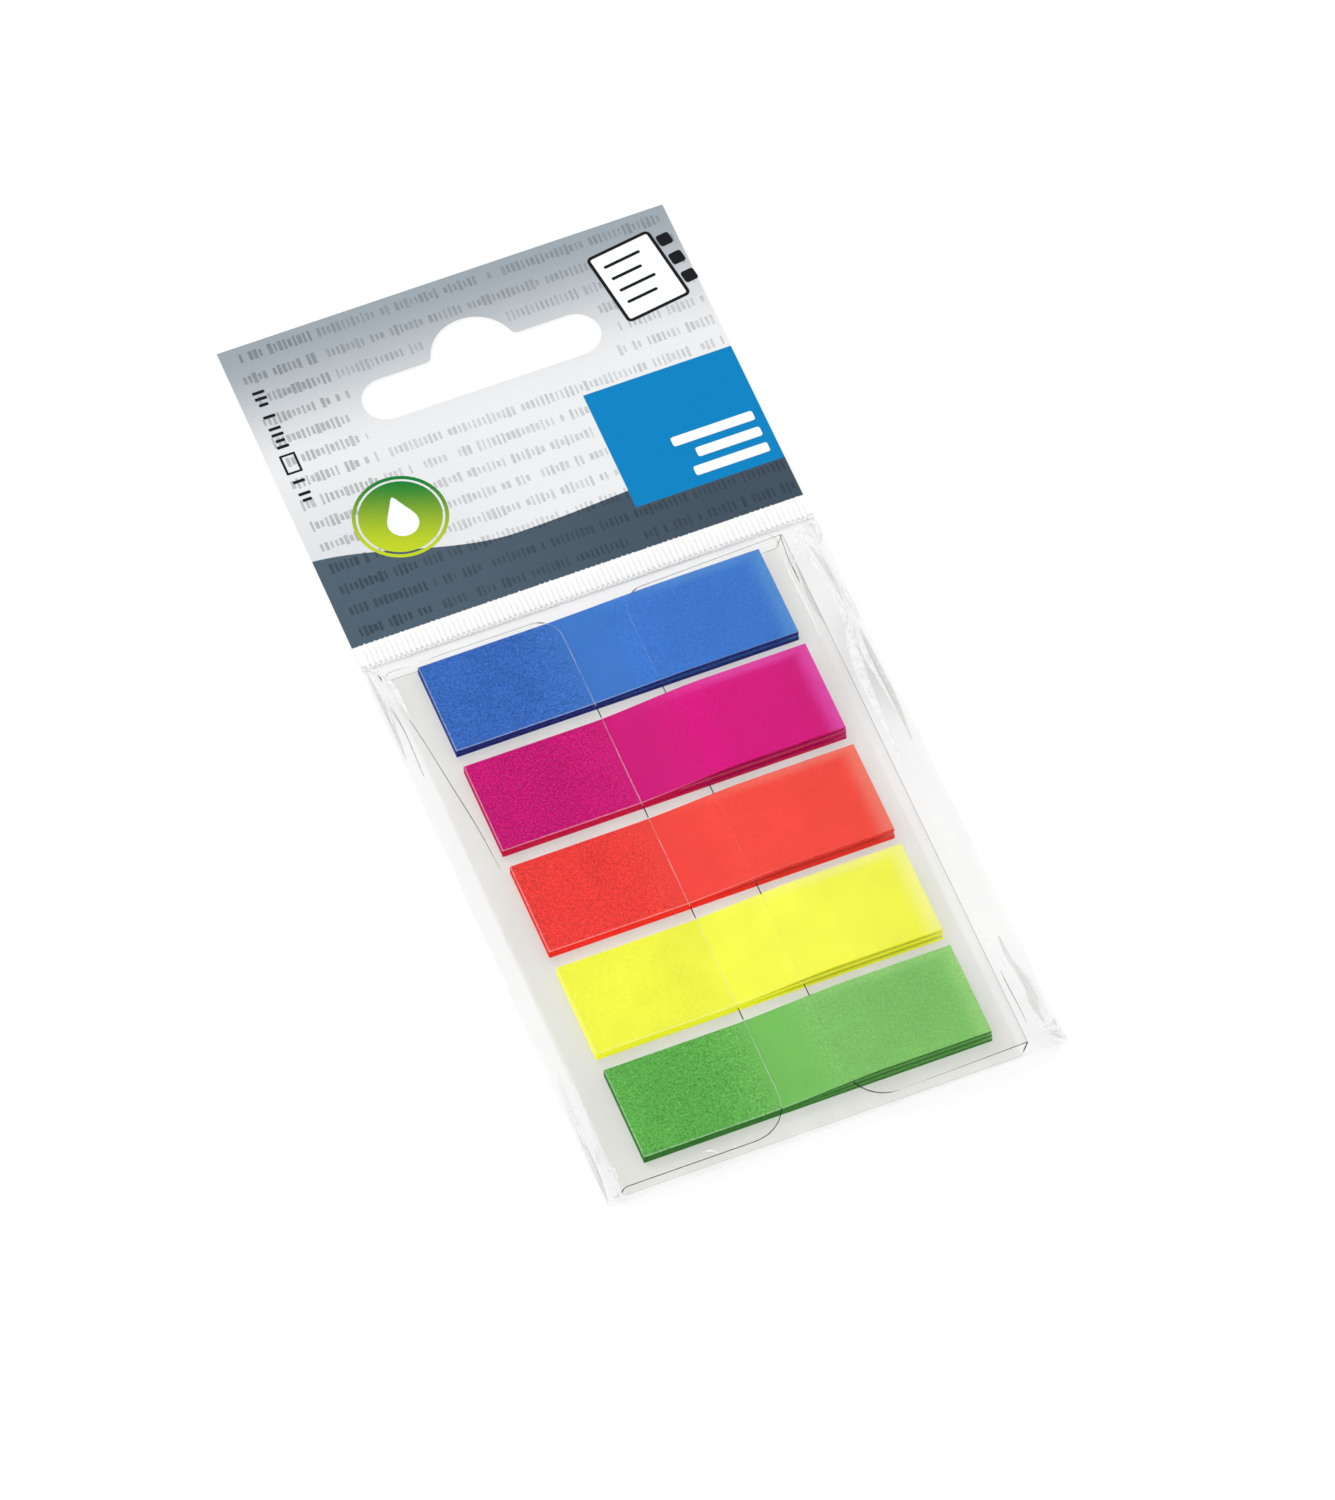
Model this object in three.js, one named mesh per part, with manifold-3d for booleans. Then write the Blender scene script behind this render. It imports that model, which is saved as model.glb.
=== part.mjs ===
// A hanging pack of sticky index tabs: five pads of film flags in a folded clear dispenser,
// inside a clear film bag that is welded to a printed header with a hanging slot.
// Millimetres. The pack lies on its back: +X across it, +Y towards the header, +Z out of its front.
// The origin is under the middle of the pack, on the surface that it lies on.

import * as THREE from 'three';
import { mergeVertices } from 'three/addons/utils/BufferGeometryUtils.js';
import Module from 'manifold-3d';

const wasm = await Module();
wasm.setup();

// Pads of film flags, one above the other
const flagLength = 43;
const flagWidth = 12.5;
const flagFilm = 0.05;
const flagsPerPad = 26;
const padGap = 2.26;
const splayStart = 25;
const splaySteps = 6;
const leafRoot = 1.5;

const padKinds = [
  { name: 'blue_pad', colour: 0x3c6fc8, lift: 0.15, leaves: [0.55, 0.45] },
  { name: 'magenta_pad', colour: 0xcf2480, lift: 0.85, leaves: [0.45, 0.35, 0.2] },
  { name: 'red_pad', colour: 0xf1503f, lift: 0.65, leaves: [0.6, 0.4] },
  { name: 'yellow_pad', colour: 0xf6f84c, lift: 0.6, leaves: [0.4, 0.35, 0.25] },
  { name: 'green_pad', colour: 0x70ba5a, lift: 0.55, leaves: [0.4, 0.35, 0.25] },
];

// Dispenser: one clear sheet folded over the pads from both sides
const dispenserSheet = 0.2;
const padLeftMargin = 4.0;
const padRightMargin = 3.2;
const padTopMargin = 0.4;
const padBottomMargin = 3.06;
const slotOpening = 8.1;
const leftFlapReach = 21.3;
const flapClearance = 0.3;
const rightFlapLift = 0.85;
const flapTopCorner = 3.0;
const flapBottomCorner = 4.8;
const foldSteps = 10;
const cornerSteps = 8;

// Clear bag: one length of film, folded at the bottom and welded down both sides.
// A slack is the room between the dispenser and the bag's weld or fold on that side, and a
// wrap is how far past the dispenser's edge the film takes to level out.
const bagFilm = 0.1;
const sideWeld = 1.0;
const leftSlack = 0.9;
const rightSlack = 3.9;
const bottomSlack = 0.75;
const topSlack = 2.35;
const leftWrap = 1.5;
const rightWrap = 1.3;
const bottomWrap = 0.15;
const topWrap = 0.25;
const filmClearance = 0.2;
const weldFloor = 0.02;
const gridStep = 3.0;
const slabMargin = 1;

// Crimped weld that joins the bag to the header
const weldLength = 3.4;
const ribPitch = 0.65;
const ribHeight = 0.16;
const ribCrest = 0.25;
const ribFoot = 0.016;
const ribSink = 0.06;
const ribEndMargin = 0.3;

// Printed header with its hanging slot
const headerHeight = 44.9;
const headerFilm = 0.2;
const slotLength = 30.2;
const slotHeight = 6.1;
const slotDrop = 13.5;
const slotPeakRadius = 5.35;
const slotPeakRise = 2.0;
const slotShoulder = 0.9;

// Creases of the bag's front film, each from one point to another. A point is measured in from
// the left or right edge, and down from the weld or up from the bottom fold.
const creases = [
  { side: 'left', end: 'top', from: [1.4, 5.4], to: [3.2, 14.5], rise: 0.55, reach: 1.3 },
  { side: 'left', end: 'top', from: [3.2, 14.5], to: [5.2, 42.0], rise: 0.3, reach: 1.5 },
  { side: 'left', end: 'top', from: [0.9, 5.0], to: [6.5, 5.6], rise: 0.35, reach: 1.2 },
  { side: 'right', end: 'top', from: [4.6, 5.2], to: [1.7, 17.0], rise: 0.6, reach: 1.5 },
  { side: 'right', end: 'top', from: [1.4, 5.0], to: [6.0, 11.5], rise: 0.55, reach: 1.3 },
  { side: 'right', end: 'top', from: [5.2, 24.0], to: [2.8, 52.0], rise: 0.4, reach: 1.6 },
  { side: 'right', end: 'bottom', from: [4.4, 15.5], to: [1.8, 3.0], rise: 0.6, reach: 1.5 },
  { side: 'left', end: 'bottom', from: [1.6, 11.5], to: [3.2, 1.5], rise: 0.4, reach: 1.3 },
];

// Sizes that follow
const padPitch = flagWidth + padGap;
const padThickness = flagsPerPad * flagFilm;
const dispenserWidth = padLeftMargin + flagLength + padRightMargin;
const dispenserLength = padTopMargin + (padKinds.length - 1) * padPitch + flagWidth + padBottomMargin;
const packWidth = leftSlack + dispenserWidth + rightSlack + 2 * sideWeld;
const pocketLength = weldLength + topSlack + dispenserLength + bottomSlack;
const packLength = headerHeight + pocketLength;

// Places, from the middle of the pack
const packTop = packLength / 2;
const packBottom = -packLength / 2;
const packLeft = -packWidth / 2;
const packRight = packWidth / 2;
const weldTop = packTop - headerHeight;
const weldBottom = weldTop - weldLength;
const dispenserTop = weldBottom - topSlack;
const dispenserBottom = dispenserTop - dispenserLength;
const dispenserLeft = packLeft + sideWeld + leftSlack;
const dispenserRight = dispenserLeft + dispenserWidth;
const leftFlapEdge = dispenserLeft + leftFlapReach;
const rightFlapEdge = leftFlapEdge + slotOpening;

// Levels, from the surface up
const tongueTop = bagFilm + headerFilm;
const lipTop = tongueTop + bagFilm;
const padFloor = bagFilm + dispenserSheet;
const leftFlapFloor = padFloor + padThickness + flapClearance;
const leftFoldHeight = leftFlapFloor + dispenserSheet - bagFilm;
const rightFoldHeight = leftFoldHeight + rightFlapLift;

// Closed three.js geometry to a solid that can be joined and cut, and back
function toSolid(geometry) {
  const bare = geometry.clone();
  bare.deleteAttribute('normal');
  bare.deleteAttribute('uv');
  const merged = mergeVertices(bare, 1e-5);
  return new wasm.Manifold(new wasm.Mesh({
    numProp: 3,
    vertProperties: new Float32Array(merged.attributes.position.array),
    triVerts: new Uint32Array(merged.index.array),
  }));
}

function toGeometry(solid) {
  const mesh = solid.getMesh();
  const geometry = new THREE.BufferGeometry();
  geometry.setAttribute('position', new THREE.BufferAttribute(mesh.vertProperties, 3));
  geometry.setIndex(new THREE.BufferAttribute(mesh.triVerts, 1));
  const flat = geometry.toNonIndexed();
  flat.computeVertexNormals();
  return flat;
}

// A box with its low corner and size given
function block(x, y, z, width, depth, height) {
  const geometry = new THREE.BoxGeometry(width, depth, height);
  return geometry.translate(x + width / 2, y + depth / 2, z + height / 2);
}

// An outline drawn in X and Z, extruded from y = top down by length
function alongPack(shape, top, length) {
  const geometry = new THREE.ExtrudeGeometry(shape, { depth: length, bevelEnabled: false, curveSegments: 8 });
  geometry.rotateX(Math.PI / 2);
  return geometry.translate(0, top, 0);
}

// An outline drawn in X and Y, extruded up from z = floor
function upright(shape, floor, height, curveSegments = 8) {
  const geometry = new THREE.ExtrudeGeometry(shape, { depth: height, bevelEnabled: false, curveSegments });
  return geometry.translate(0, 0, floor);
}

function piece(name, geometry, settings) {
  const mesh = new THREE.Mesh(geometry, new THREE.MeshStandardMaterial(settings));
  mesh.name = name;
  return mesh;
}

// Printed header: a film card with the hanging slot, and a tongue that reaches into the weld
function makeHeader() {
  const card = new THREE.Shape();
  card.moveTo(packLeft, weldBottom);
  card.lineTo(packRight, weldBottom);
  card.lineTo(packRight, packTop);
  card.lineTo(packLeft, packTop);
  card.closePath();

  // A long slot with round ends and a round peak, its shoulders eased
  const end = slotHeight / 2;
  const middle = packTop - slotDrop;
  const peakY = middle + slotPeakRise;
  const shoulderY = middle + end + slotShoulder;
  const reach = slotPeakRadius + slotShoulder;
  const shoulderX = Math.sqrt(reach * reach - (shoulderY - peakY) ** 2);
  const turn = Math.atan2(shoulderY - peakY, shoulderX);
  const slot = new THREE.Path();
  slot.absarc(-slotLength / 2 + end, middle, end, Math.PI / 2, (3 * Math.PI) / 2, false);
  slot.absarc(slotLength / 2 - end, middle, end, -Math.PI / 2, Math.PI / 2, false);
  slot.absarc(shoulderX, shoulderY, slotShoulder, (3 * Math.PI) / 2, Math.PI + turn, true);
  slot.absarc(0, peakY, slotPeakRadius, turn, Math.PI - turn, false);
  slot.absarc(-shoulderX, shoulderY, slotShoulder, -turn, -Math.PI / 2, true);
  slot.closePath();
  card.holes.push(slot);
  return piece('hang_header', upright(card, bagFilm, headerFilm, 10), {
    color: 0xd9dcdf, roughness: 0.4, metalness: 0,
  });
}

// The dispenser's section: the middle line of its sheet, from the left flap's free edge,
// round the left fold, along the back, round the right fold and up the right flap
function dispenserLine() {
  const half = dispenserSheet / 2;
  const backLevel = bagFilm + half;
  const leftRadius = leftFoldHeight / 2 - half;
  const rightRadius = rightFoldHeight / 2 - half;
  const leftCentre = new THREE.Vector2(dispenserLeft + half + leftRadius, backLevel + leftRadius);
  const rightCentre = new THREE.Vector2(dispenserRight - half - rightRadius, backLevel + rightRadius);
  const line = [new THREE.Vector2(leftFlapEdge, leftCentre.y + leftRadius)];
  for (let i = 0; i <= foldSteps; i += 1) {
    const angle = Math.PI / 2 + (Math.PI * i) / foldSteps;
    line.push(new THREE.Vector2(Math.cos(angle), Math.sin(angle)).multiplyScalar(leftRadius).add(leftCentre));
  }
  const freeEdge = new THREE.Vector2(rightFlapEdge, leftCentre.y + leftRadius + half);
  const slope = Math.atan2(rightCentre.y + rightRadius - freeEdge.y, rightCentre.x - freeEdge.x);
  for (let i = 0; i <= foldSteps; i += 1) {
    const angle = -Math.PI / 2 + ((Math.PI + slope) * i) / foldSteps;
    line.push(new THREE.Vector2(Math.cos(angle), Math.sin(angle)).multiplyScalar(rightRadius).add(rightCentre));
  }
  line.push(freeEdge);
  return line;
}

// A line thickened to a sheet's closed outline
function sheetOutline(line, thickness) {
  const near = [];
  const far = [];
  line.forEach((point, i) => {
    const before = line[Math.max(i - 1, 0)];
    const after = line[Math.min(i + 1, line.length - 1)];
    const along = after.clone().sub(before).normalize();
    const side = new THREE.Vector2(-along.y, along.x).multiplyScalar(thickness / 2);
    near.push(point.clone().add(side));
    far.unshift(point.clone().sub(side));
  });
  return new THREE.Shape([...near, ...far]);
}

// What is trimmed off a flap to round its corner: a square corner less a quarter circle
function cornerTrim(x, y, acrossSign, alongSign, radius) {
  const trim = new THREE.Shape();
  trim.moveTo(x - acrossSign * slabMargin, y - alongSign * radius);
  for (let i = 0; i <= cornerSteps; i += 1) {
    const angle = (Math.PI / 2) * (i / cornerSteps);
    trim.lineTo(
      x + acrossSign * radius * (1 - Math.cos(angle)),
      y - alongSign * radius * (1 - Math.sin(angle)),
    );
  }
  trim.lineTo(x + acrossSign * radius, y + alongSign * slabMargin);
  trim.lineTo(x - acrossSign * slabMargin, y + alongSign * slabMargin);
  trim.closePath();
  const floor = padFloor + padThickness / 2;
  return toSolid(upright(trim, floor, padThickness + rightFoldHeight));
}

function makeDispenser() {
  const outline = sheetOutline(dispenserLine(), dispenserSheet);
  let solid = toSolid(alongPack(outline, dispenserTop, dispenserLength));
  for (const [x, across] of [[leftFlapEdge, -1], [rightFlapEdge, 1]]) {
    solid = solid.subtract(cornerTrim(x, dispenserTop, across, 1, flapTopCorner));
    solid = solid.subtract(cornerTrim(x, dispenserBottom, across, -1, flapBottomCorner));
  }
  return piece('flag_dispenser', toGeometry(solid), {
    color: 0xf2f2f0, roughness: 0.1, metalness: 0, transparent: true, opacity: 0.3,
  });
}

// A pad is one solid whose loose right end has come apart into a few leaves
function makePad(kind, row) {
  const left = dispenserLeft + padLeftMargin;
  const right = left + flagLength;
  const top = dispenserTop - padTopMargin - row * padPitch;
  const outline = new THREE.Shape();
  outline.moveTo(left, padFloor);
  outline.lineTo(right, padFloor);
  let level = padFloor;
  const last = kind.leaves.length - 1;
  kind.leaves.forEach((share, k) => {
    level += share * padThickness;
    const root = left + splayStart + k * leafRoot;
    const liftBelow = kind.lift * (k / Math.max(last, 1));
    for (let i = 0; i < splaySteps; i += 1) {
      const run = 1 - i / splaySteps;
      outline.lineTo(root + (right - root) * run, level + liftBelow * run * run);
    }
    outline.lineTo(root, level);
    if (k === last) return;
    const nextRoot = root + leafRoot;
    const liftAbove = kind.lift * ((k + 1) / last);
    for (let i = 0; i <= splaySteps; i += 1) {
      const run = i / splaySteps;
      outline.lineTo(nextRoot + (right - nextRoot) * run, level + liftAbove * run * run);
    }
  });
  outline.lineTo(left, padFloor + padThickness);
  outline.closePath();
  return piece(kind.name, alongPack(outline, top, flagWidth), {
    color: kind.colour, roughness: 0.55, metalness: 0,
  });
}

// Stations across a span: close together at its ends, then a regular step
function stations(low, high, ends, step) {
  const inner = ends[ends.length - 1];
  const count = Math.ceil((high - low - 2 * inner) / step);
  const list = ends.map((d) => low + d);
  for (let i = 1; i < count; i += 1) list.push(low + inner + ((high - low - 2 * inner) * i) / count);
  return [...list, ...ends.map((d) => high - d).reverse()];
}

// A closed slab over a grid of stations, from a flat floor up to the height given
function gridSlab(xs, ys, floor, height) {
  const geometry = new THREE.BoxGeometry(1, 1, 1, xs.length - 1, ys.length - 1, 1);
  const spots = geometry.attributes.position;
  for (let i = 0; i < spots.count; i += 1) {
    const x = xs[Math.round((spots.getX(i) + 0.5) * (xs.length - 1))];
    const y = ys[Math.round((spots.getY(i) + 0.5) * (ys.length - 1))];
    spots.setXYZ(i, x, y, spots.getZ(i) > 0 ? height(x, y) : floor - slabMargin);
  }
  const above = block(
    packLeft - slabMargin, packBottom - slabMargin, floor,
    packWidth + 2 * slabMargin, packLength + 2 * slabMargin, packWidth,
  );
  return toSolid(geometry).intersect(toSolid(above));
}

// How far the film has risen at a distance in from its weld: steep at first, then level
function rise(distance, run) {
  const left = 1 - Math.min(Math.max(distance / run, 0), 1);
  return 1 - left * left * left;
}

function creaseAt(x, y) {
  let total = 0;
  for (const crease of creases) {
    const [start, end] = [crease.from, crease.to].map(([across, along]) => new THREE.Vector2(
      crease.side === 'left' ? packLeft + across : packRight - across,
      crease.end === 'top' ? weldTop - along : packBottom + along,
    ));
    const along = end.clone().sub(start);
    const offset = new THREE.Vector2(x, y).sub(start);
    const share = THREE.MathUtils.clamp(offset.dot(along) / along.lengthSq(), 0, 1);
    const away = offset.sub(along.multiplyScalar(share)).length();
    const fade = 0.4 + 0.6 * Math.sin(Math.PI * Math.min(share + 0.25, 1));
    total = Math.max(total, crease.rise * fade * Math.max(0, 1 - away / crease.reach));
  }
  return total;
}

// Height of the front film at a point: its inner face, or its outer face when grown by the film
function filmHeight(x, y, grow) {
  const flatLeft = bagFilm + leftFoldHeight + filmClearance;
  const flatRight = bagFilm + rightFoldHeight + filmClearance;
  const flapEdge = rightFlapEdge - filmClearance;
  const over = THREE.MathUtils.clamp((x - flapEdge) / (dispenserRight - dispenserSheet - flapEdge), 0, 1);
  const full = THREE.MathUtils.lerp(flatLeft + over * dispenserSheet, flatRight, over);
  const toMouth = THREE.MathUtils.smoothstep(y, weldBottom - topSlack, weldBottom);
  const base = THREE.MathUtils.lerp(bagFilm + weldFloor, tongueTop, toMouth);
  const share = rise(x - packLeft - sideWeld + grow, leftSlack + leftWrap)
    * rise(packRight - sideWeld - x + grow, rightSlack + rightWrap)
    * rise(y - packBottom - bagFilm + grow, bottomSlack + bottomWrap)
    * rise(weldBottom - y + grow, topSlack + topWrap);
  return base + grow + (full + creaseAt(x, y) - base) * share;
}

// Ribs that the welding jaws press into the band, side by side across the pack
function weldRibs() {
  const span = packWidth - 2 * ribEndMargin;
  const count = Math.floor(span / ribPitch);
  const pitch = span / count;
  const low = lipTop - ribSink;
  const profile = new THREE.Shape();
  profile.moveTo(packLeft + ribEndMargin, low);
  profile.lineTo(packRight - ribEndMargin, low);
  for (let i = count - 1; i >= 0; i -= 1) {
    const middle = packLeft + ribEndMargin + (i + 0.5) * pitch;
    profile.lineTo(middle + pitch / 2, lipTop + ribFoot);
    profile.lineTo(middle + ribCrest / 2, lipTop + ribHeight);
    profile.lineTo(middle - ribCrest / 2, lipTop + ribHeight);
  }
  profile.lineTo(packLeft + ribEndMargin, lipTop + ribFoot);
  profile.closePath();
  return toSolid(alongPack(profile, weldTop, weldLength));
}

// The bag: its outer form, less the pocket and the mouth that takes the header's tongue
function makeBag() {
  const outerEnds = [0, 0.45, sideWeld, 1.35, 1.8, 2.5, 3.5];
  const xs = stations(packLeft, packRight, outerEnds, gridStep);
  const ends = [0, bagFilm, 0.3, 0.6, 1.0, 2.0];
  const pocketYs = stations(packBottom, weldBottom, ends, gridStep);
  const outer = gridSlab(xs, [...pocketYs, weldTop], 0, (x, y) => filmHeight(x, y, bagFilm));

  const innerXs = xs.filter((x) => x > packLeft + sideWeld / 2 && x < packRight - sideWeld / 2);
  const innerYs = pocketYs.filter((y) => y > packBottom + bagFilm / 2);
  const pocket = gridSlab(innerXs, innerYs, bagFilm, (x, y) => filmHeight(x, y, 0));
  const mouth = toSolid(block(
    packLeft - slabMargin, weldBottom - weldFloor, bagFilm,
    packWidth + 2 * slabMargin, weldLength + slabMargin, headerFilm,
  ));
  const solid = outer.subtract(pocket).subtract(mouth).add(weldRibs());
  return piece('film_bag', toGeometry(solid), {
    color: 0xf7f7f5, roughness: 0.15, metalness: 0, transparent: true, opacity: 0.25,
  });
}

const pack = new THREE.Group();
pack.add(makeHeader());
pack.add(makeDispenser());
padKinds.forEach((kind, row) => pack.add(makePad(kind, row)));
pack.add(makeBag());

export default pack;
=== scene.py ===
# %% [markdown]
# # A hanging pack of sticky index tabs
# The pack lies on its back on a pale floor. Five pads of coloured film flags sit in a folded clear
# dispenser, the dispenser lies in a clear film bag, and the bag is crimp-welded to a printed header
# with a hanging slot. The solids come from the frame. This lesson gives them their finishes, and
# makes the film pieces anew, because thin film is all about fine folds, cut edges and gloss.

# %% The frame
import math
import bpy
import bmesh
from mathutils import Matrix, Vector, noise


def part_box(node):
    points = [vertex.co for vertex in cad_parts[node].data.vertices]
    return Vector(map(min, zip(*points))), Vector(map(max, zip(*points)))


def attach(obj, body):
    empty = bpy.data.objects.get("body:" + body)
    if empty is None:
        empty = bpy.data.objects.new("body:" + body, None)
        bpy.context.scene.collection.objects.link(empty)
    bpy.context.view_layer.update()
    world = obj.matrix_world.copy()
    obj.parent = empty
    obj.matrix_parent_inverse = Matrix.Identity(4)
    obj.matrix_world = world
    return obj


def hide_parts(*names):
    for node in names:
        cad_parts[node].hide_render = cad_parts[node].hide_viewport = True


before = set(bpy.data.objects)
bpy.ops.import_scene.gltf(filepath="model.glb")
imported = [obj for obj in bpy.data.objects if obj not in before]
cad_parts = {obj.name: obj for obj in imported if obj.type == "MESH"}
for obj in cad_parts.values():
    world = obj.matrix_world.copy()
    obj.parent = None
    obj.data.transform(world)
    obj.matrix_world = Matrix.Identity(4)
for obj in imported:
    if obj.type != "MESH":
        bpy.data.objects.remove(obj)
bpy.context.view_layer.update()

MM = 0.001
scene = bpy.context.scene
print("nodes", sorted(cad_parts))

# %% [markdown]
# Every place is worked out from the boxes of the solids, in millimetres, so that the film, the
# print and the flags meet the pieces that carry them. The origin is under the middle of the pack,
# +Y runs towards the header and +Z out of its front.

# %% Places on the pack
def box_mm(node):
    """Low and high corner of a node, in millimetres."""
    low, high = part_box(node)
    return Vector(low) / MM, Vector(high) / MM


header_low, header_high = box_mm("hang_header")
sheet_low, sheet_high = box_mm("flag_dispenser")
bag_low, bag_high = box_mm("film_bag")

WELD_LENGTH = 3.4
FILM = 0.1
SIDE_WELD = 1.0
SHEET = 0.2
weld_top = bag_high.y
weld_bottom = weld_top - WELD_LENGTH
print("weld", round(weld_bottom, 2), round(weld_top, 2), "dispenser", sheet_low[:], sheet_high[:])

# %% [markdown]
# The photograph looks down on the pack from the front left, from far away with a long lens. The
# camera stands on that line, at the distance that gives the pack its slight perspective.

# %% Camera
VIEW_ELEVATION = math.radians(57.85)
VIEW_AZIMUTH = math.radians(-20.52)
VIEW_ROLL = math.radians(-1.45)
VIEW_DISTANCE = 1475.0
VIEW_TARGET = Vector((0.57, -8.5, 0.0))
FOCAL_PIXELS = 12662
PHOTO_HEIGHT = 1500
SENSOR = 36.0

turn = (Matrix.Rotation(VIEW_AZIMUTH, 3, "Z") @ Matrix.Rotation(math.pi / 2 - VIEW_ELEVATION, 3, "X")
        @ Matrix.Rotation(VIEW_ROLL, 3, "Z"))
place = VIEW_TARGET + turn.col[2] * VIEW_DISTANCE

camera_data = bpy.data.cameras.new("photo_camera")
camera = bpy.data.objects.new("photo_camera", camera_data)
scene.collection.objects.link(camera)
camera_data.sensor_width = SENSOR
camera_data.sensor_fit = "AUTO"
camera_data.lens = SENSOR * FOCAL_PIXELS / PHOTO_HEIGHT
camera_data.clip_start = 0.05
camera_data.clip_end = 20.0
camera.matrix_world = Matrix.Translation(place * MM) @ turn.to_4x4()
scene.camera = camera
print("lens", round(camera_data.lens, 1), "mm")

# %% [markdown]
# Materials and repeated parts are node trees. These helpers keep the trees short: one adds a node
# and sets its sockets, the others join values, ramps and noises. Every pattern in a material reads
# Object coordinates, scaled to millimetres, so it stays on its piece from any side.

# %% Node helpers
class Nodes:
    """A node tree, with short calls to build it."""

    def __init__(self, tree):
        self.tree = tree

    def put(self, socket, value):
        if isinstance(value, bpy.types.NodeSocket):
            self.tree.links.new(value, socket)
        elif value is not None:
            if hasattr(socket.default_value, "__len__") and not hasattr(value, "__len__"):
                value = [value] * len(socket.default_value)
            socket.default_value = value

    def node(self, kind, **inputs):
        made = self.tree.nodes.new(kind)
        for name, value in inputs.items():
            self.put(made.inputs[name.replace("_", " ")], value)
        return made

    def first(self, kind, **inputs):
        """The first output of a new node."""
        return self.node(kind, **inputs).outputs[0]

    def math(self, operation, a, b=0.0, clamp=False):
        made = self.tree.nodes.new("ShaderNodeMath")
        made.operation = operation
        made.use_clamp = clamp
        self.put(made.inputs[0], a)
        self.put(made.inputs[1], b)
        return made.outputs[0]

    def times(self, *values):
        """The product of two or more values."""
        product = values[0]
        for value in values[1:]:
            product = self.math("MULTIPLY", product, value)
        return product

    def plus(self, a, b):
        return self.math("ADD", a, b)

    def minus(self, a, b):
        return self.math("SUBTRACT", a, b)

    def scaled(self, vector, by):
        """A vector or a colour, times a factor."""
        made = self.tree.nodes.new("ShaderNodeVectorMath")
        made.operation = "SCALE"
        self.put(made.inputs[0], vector if isinstance(vector, bpy.types.NodeSocket) else vector[:3])
        self.put(made.inputs["Scale"], by)
        return made.outputs[0]

    def seen_rays(self):
        """1 for what the camera sees straight, in a gloss or through glass, 0 for other light."""
        path = self.node("ShaderNodeLightPath").outputs
        mirrored = self.math("MAXIMUM", path["Is Glossy Ray"], path["Is Transmission Ray"])
        return self.math("MAXIMUM", path["Is Camera Ray"], mirrored)


class Finish(Nodes):
    """A material."""

    def __init__(self, name):
        self.material = bpy.data.materials.new(name)
        self.material.use_nodes = True
        super().__init__(self.material.node_tree)
        self.tree.nodes.clear()
        self.output = self.node("ShaderNodeOutputMaterial")
        self.mm = self.scaled(self.node("ShaderNodeTexCoord").outputs["Object"], 1 / MM)
        self.x, self.y, self.z = self.node("ShaderNodeSeparateXYZ", Vector=self.mm).outputs

    def ramp(self, value, low, high, to_low=0.0, to_high=1.0, smooth=True):
        made = self.tree.nodes.new("ShaderNodeMapRange")
        made.interpolation_type = "SMOOTHSTEP" if smooth else "LINEAR"
        for name, v in (("Value", value), ("From Min", low), ("From Max", high),
                        ("To Min", to_low), ("To Max", to_high)):
            self.put(made.inputs[name], v)
        return made.outputs["Result"]

    def mix(self, share, a, b):
        made = self.tree.nodes.new("ShaderNodeMix")
        made.data_type = "RGBA"
        self.put(made.inputs["Factor"], share)
        self.put(made.inputs["A"], a)
        self.put(made.inputs["B"], b)
        return made.outputs["Result"]

    def noise(self, scale, detail=2.0, stretch=None, rough=0.5):
        vector = self.first("ShaderNodeMapping", Vector=self.mm, Scale=stretch) if stretch else self.mm
        made = self.node("ShaderNodeTexNoise", Vector=vector, Scale=scale, Detail=detail, Roughness=rough)
        return made.outputs["Fac"]

    def toned(self, colour, noise, depth):
        """A colour that a noise makes a little darker and lighter."""
        return self.scaled(colour, self.ramp(noise, 0.3, 0.7, 1 - depth, 1 + depth))

    def bump(self, height, strength, distance):
        return self.first("ShaderNodeBump", Height=height, Strength=strength, Distance=distance)

    def coat(self, specular, **inputs):
        """A plain surface with this level of mirror gloss."""
        shader = self.node("ShaderNodeBsdfPrincipled", **inputs)
        shader.inputs["Specular IOR Level"].default_value = specular
        return shader.outputs[0]

    def blend(self, share, first, second):
        """A mix of two shaders."""
        made = self.node("ShaderNodeMixShader", Fac=share)
        self.tree.links.new(first, made.inputs[1])
        self.tree.links.new(second, made.inputs[2])
        return made.outputs[0]

    def finish(self, shader):
        self.tree.links.new(shader, self.output.inputs["Surface"])
        return self.material


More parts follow.
